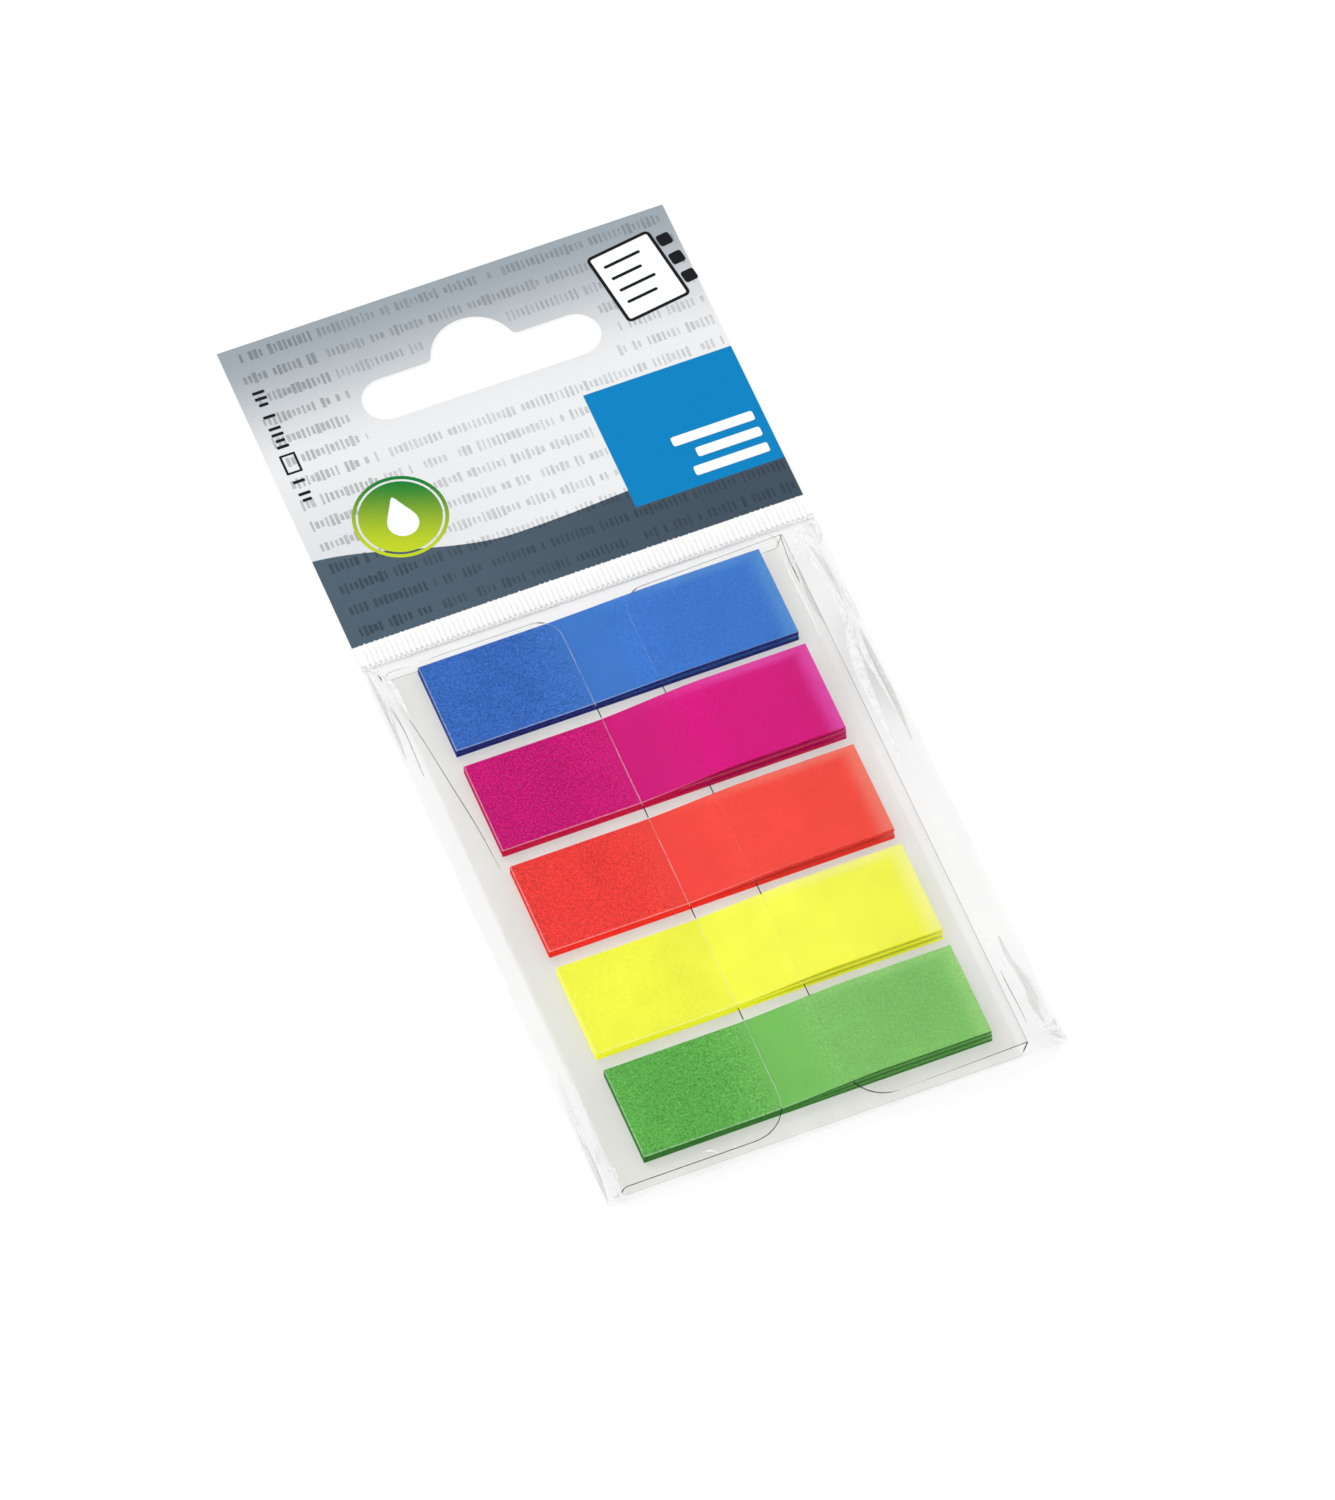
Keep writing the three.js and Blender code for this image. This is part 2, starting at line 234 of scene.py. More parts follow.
class Recipe(Nodes):
    """A tree of geometry nodes with named inputs."""

    def __init__(self, name, floats=(), whole=(), vectors=()):
        super().__init__(bpy.data.node_groups.new(name, "GeometryNodeTree"))
        kinds = {"Float": floats, "Int": (*whole, "Seed"), "Vector": vectors, "Material": ("Finish",)}
        for kind, names in kinds.items():
            for socket in names:
                self.tree.interface.new_socket(socket, in_out="INPUT", socket_type="NodeSocket" + kind)
        self.tree.interface.new_socket("Geometry", in_out="OUTPUT", socket_type="NodeSocketGeometry")
        self.given = self.node("NodeGroupInput").outputs

    def vector(self, x=0.0, y=0.0, z=0.0):
        return self.first("ShaderNodeCombineXYZ", X=x, Y=y, Z=z)

    def split(self, vector):
        return self.node("ShaderNodeSeparateXYZ", Vector=vector).outputs

    def between(self, a, b, operation="SUBTRACT"):
        """The step from one place to another, or the distance."""
        made = self.tree.nodes.new("ShaderNodeVectorMath")
        made.operation = operation
        self.put(made.inputs[0], a)
        self.put(made.inputs[1], b)
        return made.outputs["Value" if operation == "DISTANCE" else "Vector"]

    def chance(self, low, high, seed, vectors=False):
        """A random value or vector for each point."""
        made = self.tree.nodes.new("FunctionNodeRandomValue")
        made.data_type = "FLOAT_VECTOR" if vectors else "FLOAT"
        lowest = 0 if vectors else 2
        self.put(made.inputs[lowest], low)
        self.put(made.inputs[lowest + 1], high)
        self.put(made.inputs["Seed"], seed)
        return made.outputs[0 if vectors else 1]

    def copied(self, points, shape, scale=None):
        """Real copies of a shape, one at each point."""
        copies = self.first("GeometryNodeInstanceOnPoints", Points=points, Instance=shape, Scale=scale)
        return self.first("GeometryNodeRealizeInstances", Geometry=copies)

    def finish(self, geometry):
        painted = self.first("GeometryNodeSetMaterial", Geometry=geometry, Material=self.given["Finish"])
        self.node("NodeGroupOutput", Geometry=painted)
        return self.tree


def srgb(r, g, b):
    """An 8-bit screen colour as the linear colour that a node holds."""
    def linear(c):
        c = c / 255
        return c / 12.92 if c <= 0.04045 else ((c + 0.055) / 1.055) ** 2.4
    return (linear(r), linear(g), linear(b), 1.0)


# %% [markdown]
# A mesh is made from plain lists and given its materials. A sheet of film is a grid of points with
# a thickness: the same grid is laid down twice, one thickness apart along its normals, and closed
# round its rim. Curves and trees of geometry nodes are turned into plain meshes too.

# %% Mesh helpers
SHARP = math.radians(40)


def mesh_object(name, points, faces, materials, smooth=True, material_of=None):
    mesh = bpy.data.meshes.new(name)
    mesh.from_pydata([(p[0] * MM, p[1] * MM, p[2] * MM) for p in points], [], faces)
    for material in materials:
        mesh.materials.append(material)
    for polygon in mesh.polygons:
        polygon.use_smooth = smooth
        if material_of:
            polygon.material_index = material_of(polygon.index)
    mesh.update()
    if smooth:
        mesh.set_sharp_from_angle(angle=SHARP)
    piece = bpy.data.objects.new(name, mesh)
    scene.collection.objects.link(piece)
    return piece


def film_sheet(name, columns, rows, place, materials, thickness, lined=None):
    """A closed sheet over a grid: place(i, j) gives the point of its lower face. With lined, its
    rim and the columns named there take the second material."""
    lower = [[Vector(place(i, j)) for j in range(rows)] for i in range(columns)]
    normals = []
    for i in range(columns):
        for j in range(rows):
            a = lower[min(i + 1, columns - 1)][j] - lower[max(i - 1, 0)][j]
            b = lower[i][min(j + 1, rows - 1)] - lower[i][max(j - 1, 0)]
            normals.append(a.cross(b).normalized())
    flat = [p for column in lower for p in column]
    points = flat + [p + n * thickness for p, n in zip(flat, normals)]
    above = len(flat)
    faces, kinds = [], []
    for i in range(columns - 1):
        for j in range(rows - 1):
            k = i * rows + j
            quad = (k, k + rows, k + rows + 1, k + 1)
            faces += [tuple(above + q for q in quad), quad[::-1]]
            kinds += [int(i in (lined or ()))] * 2
    rim = [i * rows for i in range(columns)]
    rim += [(columns - 1) * rows + j for j in range(1, rows)]
    rim += [i * rows + rows - 1 for i in range(columns - 2, -1, -1)]
    rim += range(rows - 2, 0, -1)
    for a, b in zip(rim, rim[1:] + rim[:1]):
        faces.append((a, b, above + b, above + a))
        kinds.append(int(lined is not None))
    return mesh_object(name, points, faces, materials, material_of=lambda f: kinds[f])


def outward(piece, merge=None):
    """Turns a piece's faces outward, and joins points closer than merge."""
    shape = bmesh.new()
    shape.from_mesh(piece.data)
    if merge:
        bmesh.ops.remove_doubles(shape, verts=shape.verts, dist=merge)
    bmesh.ops.recalc_face_normals(shape, faces=shape.faces)
    shape.to_mesh(piece.data)
    shape.free()


def plain_mesh(holder, name):
    """The plain mesh that a curve or a modifier gives, as a new piece in the holder's place."""
    graph = bpy.context.evaluated_depsgraph_get()
    mesh = bpy.data.meshes.new_from_object(holder.evaluated_get(graph), depsgraph=graph)
    bpy.data.objects.remove(holder)
    mesh.name = name
    piece = bpy.data.objects.new(name, mesh)
    scene.collection.objects.link(piece)
    return piece


def grown(tree, name, inputs):
    """The piece that a tree of geometry nodes makes from these inputs."""
    holder = bpy.data.objects.new(name, bpy.data.meshes.new(name + "_seed"))
    scene.collection.objects.link(holder)
    modifier = holder.modifiers.new("grow", "NODES")
    modifier.node_group = tree
    for item in tree.interface.items_tree:
        if item.item_type == "SOCKET" and item.in_out == "INPUT":
            modifier[item.identifier] = inputs[item.name]
    return plain_mesh(holder, name)


# %% [markdown]
# ## The printed header
# The header is a white film card. Its print is grey at the top, fades to near white, and ends in a
# slate band with a sweeping upper edge and a blue block at the right. The card keeps its solid
# shape, and its material paints these fields from the height and side of each point.

# %% Header print
HEADER_GREY = srgb(156, 166, 174)
HEADER_LIGHT = srgb(236, 237, 238)
HEADER_SHADE = srgb(212, 216, 219)
SLATE = srgb(66, 81, 94)
SLATE_LIGHT = srgb(80, 97, 111)
BLOCK_BLUE = srgb(6, 131, 194)
CARD_WHITE = srgb(246, 246, 245)
BLOCK_LEFT = 9.6
BLOCK_LOW = 5.8
BLOCK_TOP = 22.9
SLATE_LEFT = 13.2
SLATE_RIGHT = 7.8
SWEEP_LOW_AT = 24.0
GREY_FADE = 20.0
EDGE = 0.05
INK_GLOSS = 0.06


def crisp(f, value):
    """0 below zero and 1 above, with a crisp edge."""
    return f.ramp(value, -EDGE, EDGE)


def print_colour(f):
    """The header's fields of colour, from grey down to near white, the slate band and the block."""
    down = f.minus(header_high.y, f.y)
    paper = f.mix(f.ramp(down, 0.0, GREY_FADE), HEADER_GREY, HEADER_LIGHT)
    corner = f.times(f.ramp(down, 14.0, 33.0), f.ramp(f.x, -28.0, 4.0, 1.0, 0.0), 0.55)
    paper = f.mix(corner, paper, HEADER_SHADE)
    across = f.minus(f.x, header_low.x)
    sweep = f.ramp(across, -2.0, SWEEP_LOW_AT, SLATE_LEFT, SLATE_RIGHT)
    lift = f.ramp(across, SWEEP_LOW_AT, 50.0)
    edge = f.plus(f.plus(sweep, lift), weld_top)
    slate_tone = f.mix(f.ramp(f.x, -28.0, 28.0), SLATE_LIGHT, SLATE)
    paper = f.mix(crisp(f, f.minus(edge, f.y)), paper, slate_tone)
    above_weld = f.minus(f.y, weld_top)
    block = f.times(crisp(f, f.minus(above_weld, BLOCK_LOW)), crisp(f, f.minus(BLOCK_TOP, above_weld)),
                    crisp(f, f.minus(f.x, BLOCK_LEFT)))
    return f.mix(block, paper, BLOCK_BLUE)


def header_finish():
    f = Finish("printed_film")
    # The print stops at the weld, and the back of the card is bare
    printed = f.times(crisp(f, f.minus(f.y, weld_top)), f.ramp(f.z, 0.14, 0.2))
    grain = f.noise(3.0, 4.0)
    return f.finish(f.coat(
        INK_GLOSS,
        Base_Color=f.toned(f.mix(printed, CARD_WHITE, print_colour(f)), grain, 0.015),
        Roughness=f.ramp(grain, 0.3, 0.7, 0.34, 0.42),
        Normal=f.bump(f.noise(0.06, 2.0), 0.3, 0.002),
    ))


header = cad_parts["hang_header"]
header.data.materials.clear()
header.data.materials.append(header_finish())
print("header", len(header.data.polygons), "faces")

# %% [markdown]
# The card also carries rows of fine grey print, a page with index tabs, a green badge with a drop
# and a few white tabs on the blue block. Real ink has no height, but a layer a few thousandths of
# a millimetre thick keeps every edge crisp from any side. The rows are blank marks, not letters:
# a tree of geometry nodes fills a grid with slim bars of uneven width and height, and leaves out
# some of them, so that the rest falls into words.

# %% Rows of blank marks
INK = 0.006
INK_LEVEL = header_high.z + 0.004
SLOT_MIDDLE = header_high.y - 13.5
SLOT_HALF = Vector((15.1, 3.05))
SLOT_PEAK = 5.35
MARGIN = 0.5


def marks_tree():
    r = Recipe("print_marks", ("Gap Share", "Peak Radius"), ("Columns", "Rows"),
               ("Field", "Middle", "Mark", "Hole Middle", "Hole Half", "Peak", "Block Middle", "Block Half"))
    given = r.given
    field = r.split(given["Field"])
    grid = r.first("GeometryNodeMeshGrid", Size_X=field["X"], Size_Y=field["Y"],
                   Vertices_X=given["Columns"], Vertices_Y=given["Rows"])
    grid = r.first("GeometryNodeSetPosition", Geometry=grid, Offset=given["Middle"])
    where = r.first("GeometryNodeInputPosition")

    def inside(middle, half):
        away = r.split(r.between(where, middle))
        reach = r.split(half)
        return r.times(*(r.math("LESS_THAN", r.math("ABSOLUTE", away[side]), reach[side]) for side in "XY"))

    in_peak = r.math("LESS_THAN", r.between(where, given["Peak"], "DISTANCE"), given["Peak Radius"])
    blank = r.math("LESS_THAN", r.chance(0.0, 1.0, r.plus(given["Seed"], 1)), given["Gap Share"])
    left_out = r.plus(inside(given["Hole Middle"], given["Hole Half"]), r.plus(in_peak, blank))
    left_out = r.plus(left_out, inside(given["Block Middle"], given["Block Half"]))
    kept = r.first("GeometryNodeDeleteGeometry", Geometry=grid,
                   Selection=r.math("GREATER_THAN", left_out, 0.5))
    size = r.chance((0.6, 0.72, 1.0), (1.3, 1.35, 1.0), r.plus(given["Seed"], 2), vectors=True)
    return r.finish(r.copied(kept, r.first("GeometryNodeMeshCube", Size=given["Mark"]), size))


def on_header(piece):
    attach(piece, "root")
    return piece


def marks_finish(name, strength):
    """The print's own colour under the mark, darkened: strength 1 leaves it, 0 makes it black."""
    f = Finish(name)
    dark = f.ramp(f.noise(0.5, 1.0), 0.3, 0.7, strength * 0.92, strength * 1.08)
    return f.finish(f.coat(INK_GLOSS, Base_Color=f.scaled(print_colour(f), dark), Roughness=0.4))


MARKS = marks_tree()
ROW_PITCH = 3.19
ROWS = 14
MARK_PITCH = 0.62
first_row = header_high.y - 1.7
no_hole = {
    "Hole Middle": Vector((0, SLOT_MIDDLE, INK_LEVEL)) * MM,
    "Hole Half": Vector((SLOT_HALF.x + MARGIN, SLOT_HALF.y + 0.8 + MARGIN, 1.0)) * MM,
    "Peak": Vector((0, SLOT_MIDDLE + 2.0, INK_LEVEL)) * MM,
    "Peak Radius": (SLOT_PEAK + 2 * MARGIN) * MM,
    "Block Middle": Vector((header_high.x, weld_top + (BLOCK_LOW + BLOCK_TOP) / 2, INK_LEVEL)) * MM,
    "Block Half": Vector((header_high.x - BLOCK_LEFT + 0.3, (BLOCK_TOP - BLOCK_LOW) / 2 + 0.6, 1.0)) * MM,
}


def mark_rows(name, left, right, mark, gaps, seed, strength):
    columns = int((right - left) / MARK_PITCH)
    rows_run = (ROWS - 1) * ROW_PITCH
    return on_header(grown(MARKS, name, {
        "Field": Vector(((columns - 1) * MARK_PITCH, rows_run, 0)) * MM,
        "Columns": columns, "Rows": ROWS,
        "Middle": Vector(((left + right) / 2, first_row - rows_run / 2, INK_LEVEL)) * MM,
        "Mark": Vector((*mark, INK)) * MM, "Gap Share": gaps, "Seed": seed,
        "Finish": marks_finish(name, strength), **no_hole}))


row_marks = [
    mark_rows("print_rows_right", -16.5, header_high.x - 0.3, (0.35, 1.15), 0.15, 7, 0.74),
    mark_rows("print_rows_left", header_low.x + 1.4, -17.0, (0.4, 1.2), 0.13, 23, 0.62),
]
print("marks", [len(piece.data.polygons) for piece in row_marks])

# %% [markdown]
# A pictogram is a few closed outlines. A flat curve fills the area between an outline and the
# holes inside it, and a hair of extrusion makes it a closed layer of ink.

# %% Pictograms
def inked(name, loops, finish, level=0):
    """Closed outlines, in millimetres on the header's face, filled as one layer of ink."""
    curve = bpy.data.curves.new(name, "CURVE")
    curve.dimensions = "2D"
    curve.fill_mode = "BOTH"
    curve.extrude = INK / 2 * MM
    for loop in loops:
        spline = curve.splines.new("POLY")
        spline.points.add(len(loop) - 1)
        for point, (x, y) in zip(spline.points, loop):
            point.co = (x * MM, y * MM, 0, 1)
        spline.use_cyclic_u = True
    holder = bpy.data.objects.new(name, curve)
    scene.collection.objects.link(holder)
    piece = plain_mesh(holder, name)
    piece.data.transform(Matrix.Translation((0, 0, (INK_LEVEL + (2 + level) * INK) * MM)))
    piece.data.materials.clear()
    piece.data.materials.append(finish)
    outward(piece, INK * MM / 10)
    return on_header(piece)


def round_box(middle, size, radius, turn=0.0, steps=5):
    """A box with round corners, turned about its middle."""
    half = Vector(size) / 2
    corners = [(1, 1, 0), (-1, 1, 90), (-1, -1, 180), (1, -1, 270)]
    points = []
    for sx, sy, start in corners:
        for k in range(steps + 1):
            angle = math.radians(start + 90 * k / steps)
            points.append((sx * (half.x - radius) + radius * math.cos(angle),
                           sy * (half.y - radius) + radius * math.sin(angle)))
    c, s = math.cos(turn), math.sin(turn)
    return [(middle[0] + c * x - s * y, middle[1] + s * x + c * y) for x, y in points]


def ring_of(middle, radius, steps=48):
    return [(middle[0] + radius * math.cos(2 * math.pi * k / steps),
             middle[1] + radius * math.sin(2 * math.pi * k / steps)) for k in range(steps)]


def frame_of(middle, size, radius, line, turn=0.0):
    inner = (size[0] - 2 * line, size[1] - 2 * line)
    inner_radius = max(radius - line, 0.05)
    return [round_box(middle, size, radius, turn), round_box(middle, inner, inner_radius, turn)]


def ink_finish(name, low, high, span=(0.0, 1.0)):
    """An ink that shades from one colour to the other up the header."""
    f = Finish(name)
    colour = f.mix(f.ramp(f.plus(f.y, f.times(f.x, INK_SLANT)), *span), low, high)
    return f.finish(f.coat(INK_GLOSS, Base_Color=f.toned(colour, f.noise(4.0, 3.0), 0.03), Roughness=0.4))


INK_SLANT = 0.4
BLACK_INK = ink_finish("black_ink", srgb(34, 36, 40), srgb(24, 26, 30))
WHITE_INK = ink_finish("white_ink", srgb(244, 246, 248), srgb(250, 251, 252))
PAGE = Vector((22.0, 54.6))
PAGE_SIZE = (8.6, 10.6)
PAGE_TURN = math.radians(8)
PEN = 0.42


def on_page(x, y):
    c, s = math.cos(PAGE_TURN), math.sin(PAGE_TURN)
    return (PAGE.x + c * x - s * y, PAGE.y + s * x + c * y)


page_loops = frame_of(PAGE, PAGE_SIZE, 0.7, PEN, PAGE_TURN)
for k in range(3):
    tab = on_page(PAGE_SIZE[0] / 2 + 1.05, 3.1 - 3.0 * k)
    page_loops.append(round_box(tab, (1.7, 1.7), 0.35, PAGE_TURN))
for k in range(4):
    shorter = k % 2
    line = on_page(-0.5 - 0.4 * shorter, 3.1 - 1.9 * k)
    page_loops.append(round_box(line, (4.9 - 0.8 * shorter, PEN), 0.2, PAGE_TURN))
inked("page_paper", [round_box(PAGE, PAGE_SIZE, 0.7, PAGE_TURN)], WHITE_INK)
inked("page_with_tabs", page_loops, BLACK_INK, 1)

# %% [markdown]
# The badge is a green disc in a pale ring, shaded from a light lower right to a deep upper left,
# with a white drop in its middle. The drop's outline is a circle drawn out to a point.

# %% Badge, tabs and size marks
BADGE = Vector((-16.6, 33.4))
BADGE_RADIUS = 5.0
badge_middle = BADGE.y + INK_SLANT * BADGE.x
badge_span = (badge_middle - BADGE_RADIUS - 1.0, badge_middle + BADGE_RADIUS + 1.0)
BADGE_GREEN = ink_finish("badge_green", srgb(196, 214, 40), srgb(16, 128, 52), badge_span)


def drop_outline(middle, radius, reach, steps=40):
    points = []
    for k in range(steps):
        angle = 2 * math.pi * k / steps
        out = max(math.sin(angle), 0.0) ** 3
        points.append((middle[0] + radius * math.cos(angle) * (1 - 0.55 * out),
                       middle[1] + radius * math.sin(angle) + reach * out))
    return points


inked("badge_ring", [ring_of(BADGE, BADGE_RADIUS + 0.75), ring_of(BADGE, BADGE_RADIUS + 0.3)], BADGE_GREEN)
inked("badge_disc", [ring_of(BADGE, BADGE_RADIUS)], BADGE_GREEN)
inked("badge_drop", [drop_outline((BADGE.x, BADGE.y - 0.9), 1.9, 1.9)], WHITE_INK, 1)
for k, (reach, low) in enumerate(((10.4, 12.7), (8.2, 10.3), (9.4, 7.9))):
    bar = round_box((27.3 - reach / 2, weld_top + low), (reach, 1.35), 0.3)
    inked(f"block_tab_{k + 1}", [bar], WHITE_INK)

SIZE_MARKS_X = header_low.x + 2.6
inked("size_sheet", frame_of((SIZE_MARKS_X, 45.3), (2.0, 2.9), 0.1, 0.28), BLACK_INK, 1)
size_bars = [round_box((SIZE_MARKS_X, 47.9 + 0.92 * k), (1.5 - 0.35 * (k % 3 == 1), 0.42), 0.1)
             for k in range(10) if k not in (4, 6)]
size_bars += [round_box((SIZE_MARKS_X, 42.6 - 0.92 * k), (1.5 - 0.35 * (k % 2), 0.42), 0.1)
              for k in range(4) if k != 1]
inked("size_bars", size_bars, BLACK_INK, 1)
print("badge at", BADGE[:], "page at", PAGE[:])

# %% [markdown]
# ## The pads of flags
# A pad is a stack of 26 film flags, each stuck to the next along its left part. At the loose right
# end the stack has come apart into two or three leaves. One tree of geometry nodes stacks a thin
# slab 26 times, shifts each by a hair, and lifts the upper leaves along a soft curve that starts
# where they part. The five pads are the same tree with other inputs.

# %% The stack of flags as a tree
FLAG = Vector((43.0, 12.5, 0.05))
FLAG_COUNT = 26


def stack_tree():
    r = Recipe("flag_stack", ("Length", "Width", "Film", "Part From", "Part To", "First Leaf", "Second Leaf",
                              "First Lift", "Second Lift", "Fan", "Leaf Step", "Shift"), ("Count",))
    given = r.given
    slab = r.first("GeometryNodeMeshCube", Vertices_X=30,
                   Size=r.vector(given["Length"], given["Width"], r.times(given["Film"], 0.98)))
    line = r.first("GeometryNodeMeshLine", Count=given["Count"],
                   Start_Location=r.vector(z=r.times(given["Film"], 0.5)), Offset=r.vector(z=given["Film"]))
    # Each flag remembers its level in the stack, from 0 to 1
    level = r.math("DIVIDE", r.first("GeometryNodeInputIndex"), given["Count"])
    line = r.first("GeometryNodeStoreNamedAttribute", Geometry=line, Name="level", Value=level)
    back, ahead = r.times(given["Shift"], -1.0), given["Shift"]
    shift = r.chance(r.vector(back, back), r.vector(ahead, ahead), given["Seed"], vectors=True)
    line = r.first("GeometryNodeSetPosition", Geometry=line, Offset=shift)
    flags = r.copied(line, slab)
    height = r.first("GeometryNodeInputNamedAttribute", Name="level")
    from_root = r.minus(r.split(r.first("GeometryNodeInputPosition"))["X"], given["Part From"])
    run = r.math("DIVIDE", from_root, r.minus(given["Part To"], given["Part From"]), True)
    bend = r.times(r.times(run, run), r.minus(3.0, r.times(run, 2.0)))
    above_first = r.math("GREATER_THAN", height, given["First Leaf"])
    above_second = r.math("GREATER_THAN", height, given["Second Leaf"])
    lift = r.plus(r.times(above_first, given["First Lift"]), r.times(above_second, given["Second Lift"]))
    lift = r.plus(lift, r.times(height, given["Fan"]))
    step = r.times(r.plus(above_first, above_second), run, given["Leaf Step"])
    return r.finish(r.first("GeometryNodeSetPosition", Geometry=flags,
                            Offset=r.vector(y=step, z=r.times(lift, bend))))


FLAG_STACK = stack_tree()
print("flag tree", len(FLAG_STACK.nodes), "nodes")

# %% [markdown]
# The flags are frosted film: strong colour, a soft sheen and a very fine grain. Light comes
# through the loose right ends, which are paler, and the stack's sides are deep and dark, because
# each edge shows the colour of many layers.

# %% Flag finish
def flag_finish(name, low, high, frosting, glow, top, middle, right, end, side):
    f = Finish(name)
    grain = f.noise(3.6, 4.0, rough=0.75)
    fine = f.noise(7.0, 3.0, rough=0.7)
    cloud = f.noise(0.22, 2.0)
    colour = f.mix(f.ramp(f.x, -13.0, -3.0), top, middle)
    colour = f.mix(f.ramp(f.x, -1.5, 3.0), colour, right)
    # The loose end and the upper edge let light through and are paler
    wander = f.times(f.minus(grain, 0.5), 1.6)
    to_right = f.plus(f.minus(high.x, f.x), wander)
    to_upper = f.plus(f.minus(high.y, f.y), wander)
    pale = f.times(f.ramp(to_upper, 0.1, 1.5, 0.75, 0.0), f.ramp(f.x, -4.0, 14.0))
    colour = f.mix(f.math("MAXIMUM", pale, f.ramp(to_right, 0.0, 2.8, 1.0, 0.0)), colour, end)
    # The cut rim of the top flag catches the light at its lower edge and its left end
    to_rim = f.math("MINIMUM", f.minus(f.y, low.y), f.minus(f.x, low.x))
    on_top = f.ramp(f.z, low.z + 1.26, low.z + 1.28)
    colour = f.mix(f.times(f.ramp(to_rim, 0.08, 0.2, 0.25, 0.0), on_top), colour, (0.9, 0.92, 0.95, 1))
    # Frosted under the flaps, smoother in the slot
    frost = f.math("MAXIMUM", f.ramp(f.x, -7.5, -5.0, 2.0, 0.3), f.ramp(f.x, -1.5, 1.5, 0.0, 0.8))
    speck = f.plus(f.minus(grain, 0.5), f.times(f.minus(fine, 0.5), 0.8))
    tone = f.plus(f.times(speck, frost, frosting), f.ramp(cloud, 0.3, 0.7, 0.97, 1.03, False))
    # A face that looks up carries the flag's own colour, an upright one the edge's
    normal = f.node("ShaderNodeNewGeometry").outputs["True Normal"]
    slope = f.node("ShaderNodeSeparateXYZ", Vector=normal).outputs["Z"]
    upward = f.ramp(f.math("ABSOLUTE", slope), 0.3, 0.6)
    # The sides of the stacks with bright dyes get a painted glow: a little emission in their edge colour
    return f.finish(f.coat(
        INK_GLOSS,
        Base_Color=f.mix(upward, side, f.scaled(colour, tone)),
        Roughness=f.ramp(grain, 0.3, 0.7, 0.42, 0.6),
        Normal=f.bump(grain, 0.25, 0.00002),
        Emission_Color=f.mix(upward, side, (0, 0, 0, 1)),
        Emission_Strength=glow,
    ))


PART_FROM, PART_TO = -5.5, 8.0
FAN = 0.1
LEAF_STEP = 0.11
SHIFT = 0.015
PADS = {
    "blue_pad": dict(
        top=(57, 109, 195), middle=(64, 122, 203), right=(64, 124, 212), end=(90, 150, 220),
        side=(26, 8, 122), first=(0.5, 0.2), second=(2.0, 0.0), seed=3, frost=1.15, glow=0.0),
    "magenta_pad": dict(
        top=(204, 16, 119), middle=(210, 24, 124), right=(216, 22, 128), end=(230, 80, 176),
        side=(222, 0, 74), first=(0.42, 0.4), second=(0.78, 0.4), seed=11, frost=1.0, glow=0.0),
    "red_pad": dict(
        top=(242, 64, 60), middle=(245, 74, 66), right=(251, 79, 68), end=(250, 128, 112),
        side=(254, 42, 30), first=(0.55, 0.6), second=(2.0, 0.0), seed=19, frost=0.8, glow=0.06),
    "yellow_pad": dict(
        top=(250, 253, 74), middle=(250, 253, 80), right=(253, 255, 84), end=(254, 254, 150),
        side=(255, 255, 38), first=(0.38, 0.3), second=(0.74, 0.25), seed=27, frost=0.2, glow=0.32),
    "green_pad": dict(
        top=(98, 178, 80), middle=(121, 194, 97), right=(131, 198, 107), end=(156, 214, 128),
        side=(50, 122, 44), first=(0.38, 0.28), second=(0.74, 0.22), seed=35, frost=1.1, glow=0.0),
}
COLOURS = ("top", "middle", "right", "end", "side")


def make_pad(node, look):
    low, high = box_mm(node)
    middle = (low + high) / 2
    colours = [srgb(*look[key]) for key in COLOURS]
    finish = flag_finish(node.replace("_pad", "_flags"), low, high, look["frost"], look["glow"], *colours)
    stack = grown(FLAG_STACK, node + "_flags", {
        "Length": FLAG.x * MM, "Width": FLAG.y * MM, "Film": FLAG.z * MM, "Count": FLAG_COUNT,
        "Part From": PART_FROM * MM, "Part To": PART_TO * MM,
        "First Leaf": look["first"][0], "First Lift": look["first"][1] * MM,
        "Second Leaf": look["second"][0], "Second Lift": look["second"][1] * MM,
        "Fan": FAN * MM, "Leaf Step": LEAF_STEP * MM, "Shift": SHIFT * MM,
        "Seed": look["seed"], "Finish": finish})
    stack.data.transform(Matrix.Translation(Vector((middle.x, middle.y, low.z)) * MM))
    for polygon in stack.data.polygons:
        polygon.use_smooth = False
    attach(stack, "root")
    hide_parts(node)
    return stack


stacks = {node: make_pad(node, look) for node, look in PADS.items()}
print("flags", {name: len(stack.data.polygons) for name, stack in stacks.items()})

# %% [markdown]
# ## Clear film
# Clear film is a mix: straight through for most of the light, and a gloss that grows with the cube
# of the facing value, as the eye goes flat to the surface. The through colour is a hair below
# white, so that more layers read a little greyer. The dispenser's back sheet takes a faint warm
# grey tint, deepest at the lower left.

# %% Film finishes
FILM_GLOSS = 0.0004
SLANTED_GLOSS = 0.3


